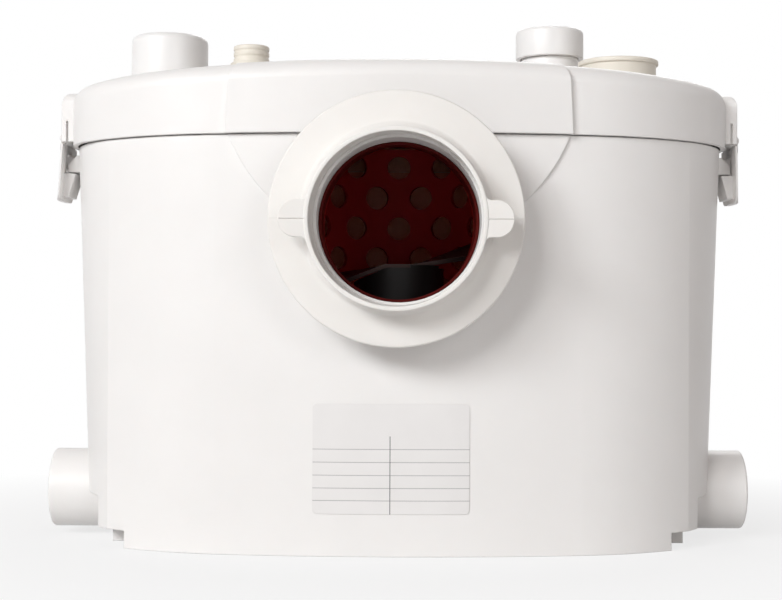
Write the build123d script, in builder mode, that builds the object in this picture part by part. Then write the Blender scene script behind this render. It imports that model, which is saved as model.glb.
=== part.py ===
from build123d import *
import math
import os

# Macerator toilet pump, in millimetres.
# Z is up and the front faces -Y. The origin is on the floor, midway between the two side inlets.

os.makedirs("parts", exist_ok=True)

ON_BASE = (Align.CENTER, Align.CENTER, Align.MIN)

# Fits
overrun = 1.0
seat_gap = 0.3
running_gap = 0.05
snug_gap = 0.1

# Tank shell
tank_wall = 3.0
tank_shoulder = 227.5
tank_half_top = 190.0
side_lean = 8.5
tank_half_base = tank_half_top - side_lean
tank_front_top = 93.0
tank_front_base = 91.0
tank_back = 92.0
front_radius = 650.0
front_angle = 8.85
corner_radius = 132.0
corner_angle = 30.25
back_corner_radius = 14.0
rim_inset = 4.5
rim_wall = 3.0
rim_height = 12.5
rim_top = tank_shoulder + rim_height
step_height = 9.7
step_draw = 18.0
flank_draw = 11.5
flank_half = tank_half_base - flank_draw
step_half = flank_half - step_draw
foot_spread = 11.5
foot_half = step_half + foot_spread
foot_reach = 35.0

# Pan inlet
inlet_height = 180.0
spigot_radius = 46.5
spigot_bore = 43.5
spigot_reach = 21.0
spigot_front = tank_front_base + spigot_reach

# Raised pad round the pan inlet
pad_rise = 1.4
pad_radius = 99.5
pad_centre_rise = 84.0
pad_centre_height = inlet_height + pad_centre_rise
pad_drop = 17.0
pad_floor_height = inlet_height - pad_drop
pad_depth = 60.0

# Side inlets
port_height = 27.0
port_radius = 23.0
port_bore = 20.05
port_stop_bore = 18.5
port_socket_depth = 20.0
port_reach = 22.5
port_end = tank_half_base + port_reach
port_set_back = 4.0
port_inner_end = step_half - port_set_back
port_round = 1.5

# Side inlet flaps
flap_radius = 22.2
flap_thickness = 2.2
flap_pin_radius = 1.25
flap_pin_rise = 4.0
flap_pin_height = port_height + port_radius + flap_pin_rise
flap_pin_half = 16.0
flap_knuckle_radius = 2.8
flap_knuckle_half = 11.4
flap_arm_half = 7.0
flap_ear_inner = 11.8
flap_ear_width = 4.0
flap_ear_radius = 3.4

# Lid
lid_lift = 0.5
lid_edge = tank_shoulder + lid_lift
lid_wall = 2.8
lid_overhang = 2.0
lid_half = tank_half_top + lid_overhang
lid_front_overhang = 2.0
lid_front = tank_front_top + lid_front_overhang
lid_back_overhang = 2.5
lid_back = tank_back + lid_back_overhang
lid_corner_radius = 135.0
lid_corner_angle = 37.15
lid_rise = 42.0
lid_crown = lid_edge + lid_rise
dome_radius = 2100.0
lid_edge_round = 10.0
lid_inner_round = 7.0
panel_half = 94.0
panel_rise = 2.5
panel_back = 45.0
panel_corner = 20.0
panel_draw = 2.0
panel_shoulder_round = 16.0
panel_crown_rise = 0.4
lid_seal_height = 3.0
lid_rib_inset = 0.3

# Latch hoods on the lid
hood_lift = 3.0
hood_floor = lid_edge + hood_lift
hood_height = 29.0
hood_top = hood_floor + hood_height
hood_half = 20.0
hood_reach = 8.6
hood_crown = lid_half + hood_reach
hood_shoulder_step = 2.9
hood_shoulder = hood_crown - hood_shoulder_step
hood_root_depth = 8.0
hood_root = lid_half - hood_root_depth
hood_round = 7.0
hood_pocket_half = 14.8
hood_cut_radius = 4.1
slit_depth = 2.0
slit_floor = hood_floor
hood_pocket_reach = 0.4
hood_pocket_root = lid_half + hood_pocket_reach
hood_pocket_height = 15.0
hood_pocket_top = hood_floor + hood_pocket_height
hood_skin = 2.6
slit_width = 1.2
slit_reach = 2.0
slit_x = lid_half + slit_reach
slit_height = 12.0
slit_top = slit_floor + slit_height

# Latches
latch_set_back = 3.8
latch_pivot_x = hood_crown - latch_set_back
latch_pivot_rise = 2.5
latch_pivot_height = hood_floor + latch_pivot_rise
latch_pin_radius = 1.0
latch_pin_half = 18.5
latch_knuckle_radius = 3.3
latch_knuckle_half = 14.4
latch_plate_drop = 3.6
latch_plate_top = latch_pivot_height - latch_plate_drop
latch_length = 36.5
latch_plate_foot = latch_pivot_height - latch_length
latch_plate_half = 19.4
latch_inner_face = latch_pivot_x + snug_gap
latch_foot_round = 8.0
latch_lean_left = 3.5
latch_lean_right = 1.0
hook_reach = 6.8
hook_tip = latch_pivot_x - hook_reach
hook_toe_reach = 3.3
hook_toe = latch_pivot_x - hook_toe_reach
hook_top_drop = 20.1
hook_top = latch_pivot_height - hook_top_drop
hook_foot_drop = 34.0
hook_foot = latch_pivot_height - hook_foot_drop
hook_half = 11.0
window_half = 6.0
window_floor_drop = 18.9
window_floor = latch_pivot_height - window_floor_drop
window_top_drop = 8.5
window_top = latch_pivot_height - window_top_drop
catch_root = tank_half_top - tank_wall
catch_set_back = 0.7
catch_tip = latch_pivot_x - catch_set_back
hook_gap = 0.6
catch_floor = hook_top + hook_gap
catch_height = 10.0
catch_top = catch_floor + catch_height
catch_slope = 5.0
catch_half = 9.0
catch_nose_reach = 4.4
catch_nose_tip = latch_pivot_x + catch_nose_reach
catch_nose_half = 5.0
catch_nose_lift = 2.6
catch_nose_floor = catch_floor + catch_nose_lift
catch_nose_height = 6.8
catch_nose_top = catch_nose_floor + catch_nose_height

# Pan connector
mouth_front = 138.0
mouth_bore = 44.7
mouth_radius = 47.25
neck_radius = 48.4
neck_front = 118.0
flange_radius = 69.0
flange_rim_radius = 66.0
flange_rim_front = 103.0
flange_back = 98.0
flange_middle = 100.5
flange_under_radius = 62.5
grip_radius = 49.6
grip_under_front = 110.5
grip_step = 2.0
ear_reach = 60.2
ear_half = 9.3
ear_thickness = 4.0
ear_set_back = 0.4
band_thickness = 1.0
band_width = 8.0
band_screw_length = 14.0
band_screw_size = 5.5

# Pump axis
pump_y = -26.0

# Basket
basket_bore = 51.7
basket_wall = 2.5
basket_floor = 133.0
basket_floor_thickness = 3.0
basket_rim_lift = 4.0
basket_rim_top = lid_edge + basket_rim_lift
basket_rim_reach = 3.0
basket_rim_thickness = 2.5
basket_hub_hole = 27.5
basket_collar_bore = 41.75
basket_collar_front = 91.0
hole_radius = 7.0
hole_rows = 5
hole_row_pitch = 18.7
hole_top_drop = 11.2
hole_top_row = basket_rim_top - hole_top_drop
holes_round = 12
holes_kept_within = 106.0

# Cutter
hub_radius = 26.0
hub_lift = 1.0
hub_floor = basket_floor + hub_lift
hub_top = 158.5
hub_seat = 156.8
hub_step_x = 6.5
hub_ramp_start = 7.0
hub_ramp_share = 0.41
hub_wall = 3.5
hub_hollow_top = 145.0
hub_boss_radius = 11.0
blade_half = 44.0
blade_root_half = 8.0
blade_width = 24.0
blade_thickness = 2.6
blade_slope_share = 0.27
blade_pitch = 20.0
cutter_screw_radius = 3.0
cutter_screw_foot = 141.0
cutter_screw_head_radius = 7.0
cutter_screw_socket_radius = 2.8
cutter_screw_socket_depth = 1.4

# Shaft
shaft_radius = 7.5
shaft_end_radius = 6.0
shaft_middle_radius = 9.0
shaft_foot = 15.6
shaft_tip = 156.0

# Motor
motor_radius = 55.0
motor_wall = 3.0
motor_base_floor = 39.0
motor_base_thickness = 7.0
motor_cover_thickness = 4.0
bearing_lower_radius = 16.0
bearing_lower_floor = 42.0
bearing_lower_width = 10.0
bearing_upper_radius = 17.5
bearing_upper_floor = 114.0
bearing_upper_width = 11.0
bearing_land = 3.2
bearing_groove = 1.0
bearing_boss_wall = 3.5
bearing_web = 2.0
seal_upper_radius = 13.0
seal_lower_radius = 14.0
stator_floor = 60.0
stator_top = 108.0
stator_bore = 26.5
rotor_core_radius = 26.0
winding_inner = 31.0
winding_outer = 47.0
winding_height = 10.0
winding_round = 4.5
motor_seal_width = 1.2
motor_seal_height = 1.0
tie_circle = 60.0
tie_radius = 2.5
tie_head_radius = 4.2
tie_head_height = 4.0
tie_socket_radius = 2.1
tie_socket_depth = 2.2
tie_ear_radius = 5.2
tie_count = 4
tie_start_angle = 45.0

# Pump
volute_radius = 52.0
volute_floor = 17.0
volute_chamber_radius = 46.0
volute_chamber_top = 34.0
outlet_offset = 37.0
outlet_height = 28.1
outlet_bore = 8.3
outlet_radius = 10.8
outlet_end = 64.0
suction_plate_floor = 14.0
suction_eye = 18.0
impeller_radius = 41.0
impeller_floor = 20.0
impeller_disc_floor = 28.5
impeller_disc_top = 31.0
impeller_hub_radius = 10.0
impeller_hub_top = 33.5
vane_count = 5
vane_thickness = 3.0
vane_arc_radius = 30.0
vane_sweep = 70.0
impeller_nut_radius = 8.5
impeller_nut_floor = 14.6
mount_circle = 38.0
mount_radius = 9.0
mount_count = 3
mount_groove = 1.6
mount_start_angle = 55.0
plate_screw_circle = 49.0
plate_screw_radius = 1.6
plate_screw_head_radius = 2.9
plate_screw_head_height = 1.8
plate_screw_top = 43.0
plate_screw_count = 6
plate_screw_start_angle = 25.0

# Discharge line
riser_x = 90.9
riser_y = pump_y + outlet_offset
riser_radius = 14.5
riser_bore = 11.5
riser_bend = 22.0
riser_entry = 6.0
riser_socket_depth = 10.0
riser_socket_start = outlet_end - riser_socket_depth
riser_socket_end = outlet_end + overrun
valve_radius = 24.0
valve_wall = 2.5
valve_height = 54.0
valve_seat_rise = 10.0
valve_seat_bore = 10.0
valve_flap_radius = 13.0
valve_flap_thickness = 2.0
valve_pin_radius = 1.2
valve_pin_offset = 16.5
valve_pin_rise = 3.0
valve_pin_half = 9.5
valve_knuckle_half = 5.6
valve_knuckle_radius = 2.4
valve_ear_width = 3.0
neck_bore = 13.0
discharge_neck_radius = 17.2
neck_height = 59.0
neck_lift = 11.0
discharge_neck_floor = lid_edge + neck_lift
discharge_neck_top = discharge_neck_floor + neck_height
neck_flange_radius = 21.0
neck_flange_thickness = 3.0
neck_seal_height = 3.0
valve_roof = discharge_neck_floor - neck_seal_height
valve_floor = valve_roof - valve_height
riser_top = valve_floor + riser_entry
valve_seat_top = valve_floor + valve_seat_rise
valve_pin_height = valve_seat_top + valve_pin_rise
cap_radius = 20.4
cap_skirt = 12.8
cap_floor = discharge_neck_top - cap_skirt
cap_roof = 1.7
cap_gap = 0.3
cap_round = 3.0
cap_seal_thickness = 3.5
cap_top = discharge_neck_top + cap_seal_thickness + cap_roof

# Vent
vent_x = -137.5
vent_y = 0.0
stub_boss_radius = 23.5
stub_boss_drop = 3.0
stub_boss_top = lid_crown - stub_boss_drop
vent_neck_radius = 20.0
vent_neck_bore = 17.0
vent_neck_height = 20.0
vent_neck_top = stub_boss_top + vent_neck_height
vent_ledge_bore = 12.5
vent_ledge_height = 3.0
vent_cap_radius = 22.65
vent_cap_height = 29.4
vent_cap_top = stub_boss_top + vent_cap_height
vent_cap_roof = 2.5
vent_cap_round = 5.0
filter_height = 11.0

# Top inlet
top_inlet_x = 128.1
top_inlet_y = -19.0
top_inlet_radius = 20.0
top_inlet_bore = 17.5
top_inlet_lift = 8.0
top_inlet_floor = lid_edge + top_inlet_lift
top_inlet_height = 9.0
top_inlet_top = stub_boss_top + top_inlet_height
inlet_cap_radius = 22.0
inlet_cap_rim_radius = 23.4
inlet_cap_rise = 3.6
inlet_cap_top = top_inlet_top + inlet_cap_rise
inlet_cap_rim_thickness = 3.0

# Cable gland
gland_x = -85.8
gland_y = -30.0
gland_bore = 4.0
gland_chamber_bore = 5.0
gland_chamber_rise = 0.5
gland_base_radius = 13.3
gland_base_height = 6.7
gland_stub_radius = 10.3
gland_stub_height = 10.0
gland_rib_depth = 0.7
gland_rib_width = 1.1
gland_rib_count = 3
gland_shank_radius = 7.7
gland_shank_length = 14.5
gland_nut_radius = 12.0
gland_nut_height = 5.0
gland_boss_drop = 1.5
gland_boss_top = lid_crown - gland_boss_drop
gland_base_top = gland_boss_top + gland_base_height
gland_top = gland_base_top + gland_stub_height
gland_shank_floor = gland_boss_top - gland_shank_length
gland_grip = 8.5
gland_flange_floor = gland_boss_top - gland_grip

# Control box
box_low_x = -165.0
box_high_x = -76.0
box_low_y = 8.0
box_high_y = 80.0
box_height = 70.0
box_drop = 5.5
box_top = tank_shoulder - box_drop
box_floor = box_top - box_height
box_wall = 2.2
box_corner = 5.0
box_cover_thickness = 2.5
bracket_thickness = 6.0
bracket_depth = 32.0
bracket_height = 30.0
bracket_inset = 9.0
box_screw_inset = 6.0
box_screw_radius = 1.5
box_screw_head_radius = 2.8
box_screw_head_height = 1.6
box_screw_length = 10.0
box_post_radius = 4.0
capacitor_radius = 15.0
capacitor_height = 55.0
capacitor_inset = 22.0
terminal_length = 36.0
terminal_depth = 14.0
terminal_height = 12.0
terminal_ways = 4
terminal_screw_radius = 1.8
terminal_screw_depth = 2.0

# Level switch
bell_x = -115.0
bell_y = 55.0
bell_radius = 15.0
bell_wall = 2.0
bell_floor = 10.0
bell_gap = 1.0
bell_top = box_floor - bell_gap
bell_cup_radius = 22.0
bell_cup_height = 6.0
bell_cup_slope = 2.5
diaphragm_thickness = 1.0
diaphragm_rise = 3.0
diaphragm_crown = 12.0
plunger_radius = 2.0
plunger_foot_radius = 9.0
plunger_foot_height = 2.0
plunger_height = 19.0
plunger_top = bell_top + plunger_height
plunger_guide_rise = 9.0
plunger_guide_floor = bell_top + plunger_guide_rise
plunger_guide_thickness = 3.0
plunger_guide_top = plunger_guide_floor + plunger_guide_thickness
plunger_guide_half = 6.0
switch_length = 28.0
switch_depth = 11.0
switch_height = 16.0
switch_travel = 1.5
switch_button_radius = 1.5
switch_button_height = 1.2

# Motor lead
lead_radius = 3.5
lead_bend = 8.0
lead_drop = 9.5
lead_run_height = box_floor - lead_drop
lead_entry = 5.0
lead_top = box_floor + lead_entry
lead_box_x = -92.0
lead_box_y = 36.0
lead_circle = 62.0
lead_angle = 160.0
lead_lobe_radius = 7.0
lead_socket_depth = 2.0

# Label
label_low_x = -46.0
label_high_x = 38.5
label_floor = 22.9
label_top = 82.4
label_thickness = 0.35
label_corner = 2.5

# Derived heights and places
motor_base_top = motor_base_floor + motor_base_thickness
motor_cover_top = basket_floor
motor_cover_floor = motor_cover_top - motor_cover_thickness
basket_radius = basket_bore + basket_wall
upper_bearing_top = bearing_upper_floor + bearing_upper_width
seal_upper_floor = upper_bearing_top + bearing_web
rim_inner_inset = rim_inset + rim_wall
seal_top = rim_top + lid_seal_height
port_seat = port_inner_end
flap_pin_x = port_seat - seat_gap - flap_thickness / 2
full_span = 2 * (port_end + overrun)


# Shared shapes
def upright(radius, low, high, place=(0, 0), mode=Mode.ADD):
    """An upright cylinder between two heights."""
    with Locations((*place, low)):
        Cylinder(radius, high - low, align=ON_BASE, mode=mode)


def sideways(radius, start, end, y, z, mode=Mode.ADD):
    """A cylinder along X between two places."""
    with Locations((min(start, end), y, z)):
        Cylinder(radius, abs(end - start), rotation=(0, 90, 0), align=ON_BASE, mode=mode)


def lengthways(radius, start, end, x, z, mode=Mode.ADD):
    """A cylinder along Y between two places."""
    with Locations((x, min(start, end), z)):
        Cylinder(radius, abs(end - start), rotation=(-90, 0, 0), align=ON_BASE, mode=mode)


def block(low, high, mode=Mode.ADD):
    """A square block between two corners."""
    size = [b - a for a, b in zip(low, high)]
    with Locations(tuple(low)):
        Box(*size, align=(Align.MIN, Align.MIN, Align.MIN), mode=mode)


def turned(outline, place=(0, 0), mode=Mode.ADD):
    """Turns a closed outline of (radius, height) points about an upright axis."""
    upright_plane = Plane((*place, 0), x_dir=(1, 0, 0), z_dir=(0, -1, 0))
    with BuildSketch(upright_plane) as section:
        with BuildLine():
            Polyline(*outline, close=True)
        make_face()
    revolve(section.sketch, Axis((*place, 0), (0, 0, 1)), mode=mode)


def side_slab(outline, half_width, mode=Mode.ADD):
    """Extrudes a closed outline of (x, z) points evenly to both sides of the middle plane."""
    with BuildSketch(Plane.XZ) as section:
        with BuildLine():
            Polyline(*outline, close=True)
        make_face()
    extrude(section.sketch, amount=half_width, both=True, mode=mode)


def hexagon_post(radius, low, high, place=(0, 0), mode=Mode.ADD):
    """An upright hexagonal prism between two heights."""
    with BuildSketch(Plane.XY.offset(low)) as outline:
        with Locations(place):
            RegularPolygon(radius, 6)
    extrude(outline.sketch, amount=high - low, mode=mode)


def save(part, name):
    """Labels a finished piece and writes it."""
    part.label = name
    export_step(part, f"parts/{name}.step")


# Plan outlines
def tank_face(height, front, half, inset=0.0):
    """The tank's plan outline at one height, moved in by inset."""
    with BuildSketch(Plane.XY.offset(height)) as plan:
        with BuildLine():
            middle = JernArc((0, inset - front), (1, 0), front_radius - inset, front_angle)
            corner = JernArc(middle @ 1, middle % 1, corner_radius - inset, corner_angle)
            flank = TangentArc((half - inset, 0), corner @ 1, tangent=(0, -1))
            back_start = tank_back - back_corner_radius
            Line(flank @ 0, (half - inset, back_start))
            back_corner = JernArc((half - inset, back_start), (0, 1), back_corner_radius - inset / 2, 90)
            Line(back_corner @ 1, (0, (back_corner @ 1).Y))
            mirror(about=Plane.YZ)
        make_face()
    return plan.sketch.face()


def tank_block(inset=0.0):
    """The tank's tapered form, moved in by inset all round."""
    with BuildPart() as form:
        low = tank_face(0, tank_front_base, tank_half_base, inset)
        high = tank_face(tank_shoulder, tank_front_top, tank_half_top, inset)
        loft([low, high], ruled=True)
    return form.part


def lid_face(height, front, inset=0.0):
    """The lid's plan outline at one height, moved in by inset."""
    with BuildSketch(Plane.XY.offset(height)) as plan:
        with BuildLine():
            middle = JernArc((0, inset - front), (1, 0), front_radius - inset, front_angle)
            corner = JernArc(middle @ 1, middle % 1, lid_corner_radius - inset, lid_corner_angle)
            turn_left = 90 - front_angle - lid_corner_angle
            side_room = lid_half - inset - (corner @ 1).X
            flank_radius = side_room / (1 - math.cos(math.radians(turn_left)))
            flank = JernArc(corner @ 1, corner % 1, flank_radius, turn_left)
            back_start = lid_back - back_corner_radius
            Line(flank @ 1, (lid_half - inset, back_start))
            back_corner = JernArc(
                (lid_half - inset, back_start), (0, 1), back_corner_radius - inset, 90
            )
            Line(back_corner @ 1, (0, (back_corner @ 1).Y))
            mirror(about=Plane.YZ)
        make_face()
    return plan.sketch.face()


def lid_block(front, crown, round_radius, inset=0.0, floor=lid_edge):
    """The lid's domed form with a rounded shoulder."""
    with BuildPart() as form:
        extrude(lid_face(floor, front, inset), amount=crown - floor)
        with Locations((0, 0, crown - dome_radius)):
            Sphere(dome_radius, mode=Mode.INTERSECT)
        shoulder = form.faces().sort_by(Axis.Z)[-1].edges()
        fillet(shoulder, round_radius)
    return form.part


# Tank hollow, with the lower sides drawn in
with BuildPart() as tank_cavity:
    add(tank_block(tank_wall))
    cavity_low = (-full_span / 2, -full_span / 2, tank_wall)
    cavity_high = (full_span / 2, full_span / 2, tank_shoulder - tank_wall)
    block(cavity_low, cavity_high, Mode.INTERSECT)
    for side in (-1, 1):
        flank_inner = flank_half - tank_wall
        step_inner = step_half - tank_wall
        with Locations((side * (flank_inner + flank_half / 2), 0, 0)):
            Box(flank_half, full_span, 2 * (port_height + tank_wall), mode=Mode.SUBTRACT)
        with Locations((side * (step_inner + step_half / 2), 0, 0)):
            Box(step_half, full_span, 2 * (step_height + tank_wall), mode=Mode.SUBTRACT)

# Raised pad on the tank front
with BuildPart() as tank_pad:
    pad_plan = tank_face(pad_floor_height, tank_front_top, tank_half_top, -pad_rise)
    extrude(pad_plan, amount=tank_shoulder - pad_floor_height)
    with Locations((0, 0, pad_centre_height)):
        Cylinder(pad_radius, full_span, rotation=(90, 0, 0), mode=Mode.INTERSECT)
    block((-pad_radius, -pad_depth, 0), (pad_radius, full_span, rim_top), Mode.SUBTRACT)


# Side inlets: a tube with a socket for the pipe, from the flap seat to the outer end
def side_inlet(side):
    """One side inlet tube with the ears for its flap's pin."""
    with BuildPart() as inlet:
        sideways(port_radius, side * port_inner_end, side * port_end, 0, port_height)
        # Ears for the flap pin
        for end in (-1, 1):
            ear_near = end * flap_ear_inner
            ear_far = end * (flap_ear_inner + flap_ear_width)
            ear_floor = flap_pin_height - flap_ear_radius
            ear_roof = flap_pin_height + flap_ear_radius
            lengthways(flap_ear_radius, ear_near, ear_far, side * flap_pin_x, flap_pin_height)
            for inner, outer, floor in (
                (flap_pin_x, flank_half - flap_ear_width, ear_floor),
                (port_inner_end, flank_half - flap_ear_width, port_height + port_bore / 2),
            ):
                xs = sorted((side * inner, side * outer))
                ys = sorted((ear_near, ear_far))
                block((xs[0], ys[0], floor), (xs[1], ys[1], ear_roof))
        outer_rim = inlet.edges().filter_by(GeomType.CIRCLE).filter_by(
            lambda edge: abs(abs(edge.center().X) - port_end) < running_gap
        )
        fillet(outer_rim, port_round)
        # Bore, narrower behind the stop for the pipe
        start = side * (port_inner_end - overrun)
        end = side * (port_end + overrun)
        stop = side * (port_end - port_socket_depth)
        sideways(port_stop_bore, start, end, 0, port_height, Mode.SUBTRACT)
        sideways(port_bore, stop, end, 0, port_height, Mode.SUBTRACT)
        lengthways(
            flap_pin_radius + snug_gap,
            -flap_pin_half - snug_gap,
            flap_pin_half + snug_gap,
            side * flap_pin_x,
            flap_pin_height,
            Mode.SUBTRACT,
        )
    return inlet.part


with BuildPart() as side_inlet_left:
    add(side_inlet(-1))
save(side_inlet_left.part, "side_inlet_left")

with BuildPart() as side_inlet_right:
    add(side_inlet(1))
save(side_inlet_right.part, "side_inlet_right")

# Tank
with BuildPart() as tank:
    add(tank_block())
    for side in (-1, 1):
        with Locations((side * (flank_half + flank_half / 2), 0, 0)):
            Box(flank_half, full_span, 2 * port_height, mode=Mode.SUBTRACT)
        with Locations((side * (step_half + step_half / 2), 0, 0)):
            Box(step_half, full_span, 2 * step_height, mode=Mode.SUBTRACT)
        # Moulded foot under the drawn-in side
        foot_width = foot_half - step_half + tank_wall
        with Locations((side * (foot_half - foot_width / 2), 0, step_height / 2)):
            Box(foot_width, 2 * foot_reach, step_height)
    add(tank_pad.part)
    # Rim that carries the seal
    rim_plan = tank_face(tank_shoulder - tank_wall, tank_front_top, tank_half_top, rim_inset)
    extrude(rim_plan, amount=rim_top - tank_shoulder + tank_wall)
    # Spigot for the pan connector
    lengthways(spigot_radius, -spigot_front, -tank_front_base, 0, inlet_height)
    # Catches for the latches
    for side in (-1, 1):
        catch_shape = [
            (side * catch_root, catch_floor),
            (side * catch_tip, catch_floor),
            (side * catch_tip, catch_top - catch_slope),
            (side * (catch_tip - catch_slope), catch_top),
            (side * catch_root, catch_top),
        ]
        side_slab(catch_shape, catch_half)
        nose_shape = [
            (side * catch_root, catch_nose_floor),
            (side * catch_nose_tip, catch_nose_floor),
            (side * catch_nose_tip, catch_nose_top - tank_wall / 2),
            (side * (catch_nose_tip - tank_wall / 2), catch_nose_top),
            (side * catch_root, catch_nose_top),
        ]
        side_slab(nose_shape, catch_nose_half)
        # Seat for the side inlet tube through the wall
        sideways(
            port_radius + running_gap,
            side * step_half / 2,
            side * port_end,
            0,
            port_height,
            Mode.SUBTRACT,
        )
    # Hollow, mouth and spigot bore
    add(tank_cavity.part, mode=Mode.SUBTRACT)
    mouth_plan = tank_face(
        tank_shoulder - tank_wall - overrun, tank_front_top, tank_half_top, rim_inner_inset
    )
    mouth_depth = rim_top - tank_shoulder + tank_wall + 2 * overrun
    extrude(mouth_plan, amount=mouth_depth, mode=Mode.SUBTRACT)
    spigot_cut_end = pad_rise - tank_front_base + 2 * tank_wall
    lengthways(
        spigot_bore, -spigot_front - overrun, spigot_cut_end, 0, inlet_height, Mode.SUBTRACT
    )
    # Brackets for the control box on the back wall
    for bracket_x in (
        box_low_x + bracket_inset,
        box_high_x - bracket_inset - bracket_thickness,
    ):
        with BuildSketch(Plane.YZ.offset(bracket_x)) as bracket:
            with BuildLine():
                wall_y = tank_back - tank_wall / 2
                Polyline(
                    (wall_y, box_floor),
                    (tank_back - tank_wall - bracket_depth, box_floor),
                    (tank_back - tank_wall - bracket_depth, box_floor - bracket_thickness),
                    (wall_y, box_floor - bracket_height),
                    close=True,
                )
            make_face()
        extrude(bracket.sketch, amount=bracket_thickness)
save(tank.part, "tank")

# Label plate, without its print
with BuildPart() as label_plate:
    add(tank_block(-label_thickness))
    add(tank_block(-running_gap), mode=Mode.SUBTRACT)
    with BuildSketch(Plane.XZ) as label_outline:
        label_centre = ((label_low_x + label_high_x) / 2, (label_floor + label_top) / 2)
        with Locations(label_centre):
            RectangleRounded(label_high_x - label_low_x, label_top - label_floor, label_corner)
    extrude(label_outline.sketch, amount=full_span / 2, mode=Mode.INTERSECT)
save(label_plate.part, "label_plate")

# Lid
with BuildPart() as lid_panel:
    panel_crown = lid_crown + panel_crown_rise
    add(lid_block(lid_front + panel_rise, panel_crown, lid_edge_round, 0))
    panel_reach = lid_front + panel_rise + overrun
    panel_depth = panel_reach - panel_back
    with BuildSketch(Plane.XY) as panel_plan:
        with Locations((0, -panel_back - panel_depth / 2)):
            Rectangle(2 * panel_half, panel_depth)
        fillet(panel_plan.vertices().group_by(Axis.Y)[-1], panel_corner)
    extrude(panel_plan.sketch, amount=panel_crown + overrun, mode=Mode.INTERSECT)
    # Sides drawn in upwards, and rounded into the crown
    with BuildSketch(Plane.XZ) as panel_face:
        with BuildLine():
            panel_top_half = panel_half - panel_draw
            panel_roof = panel_crown + overrun
            Polyline(
                (-panel_half, lid_edge),
                (-panel_top_half, panel_roof),
                (panel_top_half, panel_roof),
                (panel_half, lid_edge),
                close=True,
            )
        make_face()
        fillet(panel_face.vertices().group_by(Axis.Y)[-1], panel_shoulder_round)
    extrude(panel_face.sketch, amount=panel_reach, mode=Mode.INTERSECT)


def hood_plan_sketch(inset, height):
    """Plan of a latch hood on the right-hand side, its crown moved in by inset."""
    with BuildSketch(Plane.XY.offset(height)) as plan:
        with BuildLine():
            ThreePointArc(
                (hood_shoulder - inset, -hood_half),
                (hood_crown - inset, 0),
                (hood_shoulder - inset, hood_half),
            )
            Polyline(
                (hood_shoulder - inset, hood_half),
                (hood_root, hood_half),
                (hood_root, -hood_half),
                (hood_shoulder - inset, -hood_half),
            )
        make_face()
    return plan.sketch


with BuildPart() as lid_hood:
    extrude(hood_plan_sketch(0, hood_floor), amount=hood_top - hood_floor)
    hood_roof_edges = lid_hood.faces().sort_by(Axis.Z)[-1].edges().sort_by(Axis.X)[1:]
    fillet(hood_roof_edges, hood_round)

with BuildPart() as hood_room:
    extrude(hood_plan_sketch(hood_skin, hood_floor - overrun), amount=hood_pocket_top - hood_floor)
    block(
        (hood_pocket_root, -hood_pocket_half, 0),
        (hood_crown, hood_pocket_half, lid_crown),
        Mode.INTERSECT,
    )
    lengthways(
        hood_cut_radius, -hood_pocket_half, hood_pocket_half, latch_pivot_x, latch_pivot_height
    )
    block(
        (hood_pocket_root, -hood_pocket_half, hood_floor - overrun),
        (hood_crown + overrun, hood_pocket_half, latch_pivot_height),
    )
    lengthways(
        latch_pin_radius + snug_gap, -latch_pin_half, latch_pin_half, latch_pivot_x, latch_pivot_height
    )
    for end in (-1, 1):
        slit_low = min(end * hood_half, end * (hood_half - slit_depth))
        block(
            (slit_x, slit_low, slit_floor - overrun),
            (slit_x + slit_width, slit_low + slit_depth, slit_top),
        )

with BuildPart() as lid_rib:
    rib_inset = rim_inset + lid_rib_inset
    extrude(tank_face(seal_top, tank_front_top, tank_half_top, rib_inset), amount=lid_crown - seal_top)
    rib_inner = tank_face(
        seal_top - overrun, tank_front_top, tank_half_top, rim_inner_inset - lid_rib_inset
    )
    extrude(rib_inner, amount=lid_crown, mode=Mode.SUBTRACT)
    add(lid_block(lid_front, lid_crown, lid_edge_round, lid_wall / 2), mode=Mode.INTERSECT)

with BuildPart() as lid:
    add(lid_block(lid_front, lid_crown, lid_edge_round))
    add(lid_panel.part)
    for mirrored in (False, True):
        add(mirror(lid_hood.part, about=Plane.YZ) if mirrored else lid_hood.part)
    upright(stub_boss_radius, lid_edge, stub_boss_top, (vent_x, vent_y))
    upright(stub_boss_radius, lid_edge, stub_boss_top, (top_inlet_x, top_inlet_y))
    upright(gland_base_radius + overrun, lid_edge, gland_boss_top, (gland_x, gland_y))
    # Hollow under the dome
    add(
        lid_block(lid_front, lid_crown - lid_wall, lid_inner_round, lid_wall, lid_edge - overrun),
        mode=Mode.SUBTRACT,
    )
    add(lid_rib.part)
    for mirrored in (False, True):
        room = mirror(hood_room.part, about=Plane.YZ) if mirrored else hood_room.part
        add(room, mode=Mode.SUBTRACT)
    # Vent neck with the ledge for its filter
    upright(vent_neck_radius, stub_boss_top - vent_ledge_height, vent_neck_top, (vent_x, vent_y))
    upright(
        vent_neck_bore, stub_boss_top, vent_neck_top + overrun, (vent_x, vent_y), Mode.SUBTRACT
    )
    upright(vent_ledge_bore, lid_edge, vent_neck_top, (vent_x, vent_y), Mode.SUBTRACT)
    # Top inlet neck
    upright(top_inlet_radius, top_inlet_floor, top_inlet_top, (top_inlet_x, top_inlet_y))
    upright(
        top_inlet_bore,
        top_inlet_floor - overrun,
        top_inlet_top + overrun,
        (top_inlet_x, top_inlet_y),
        Mode.SUBTRACT,
    )
    # Gland pad and hole
    upright(gland_nut_radius + overrun, gland_flange_floor, lid_crown - lid_wall, (gland_x, gland_y))
    upright(
        gland_shank_radius + snug_gap, lid_edge, lid_crown + overrun, (gland_x, gland_y), Mode.SUBTRACT
    )
    # Hole for the discharge neck
    upright(
        discharge_neck_radius + snug_gap, lid_edge, lid_crown + overrun, (riser_x, riser_y), Mode.SUBTRACT
    )
save(lid.part, "lid")

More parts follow.
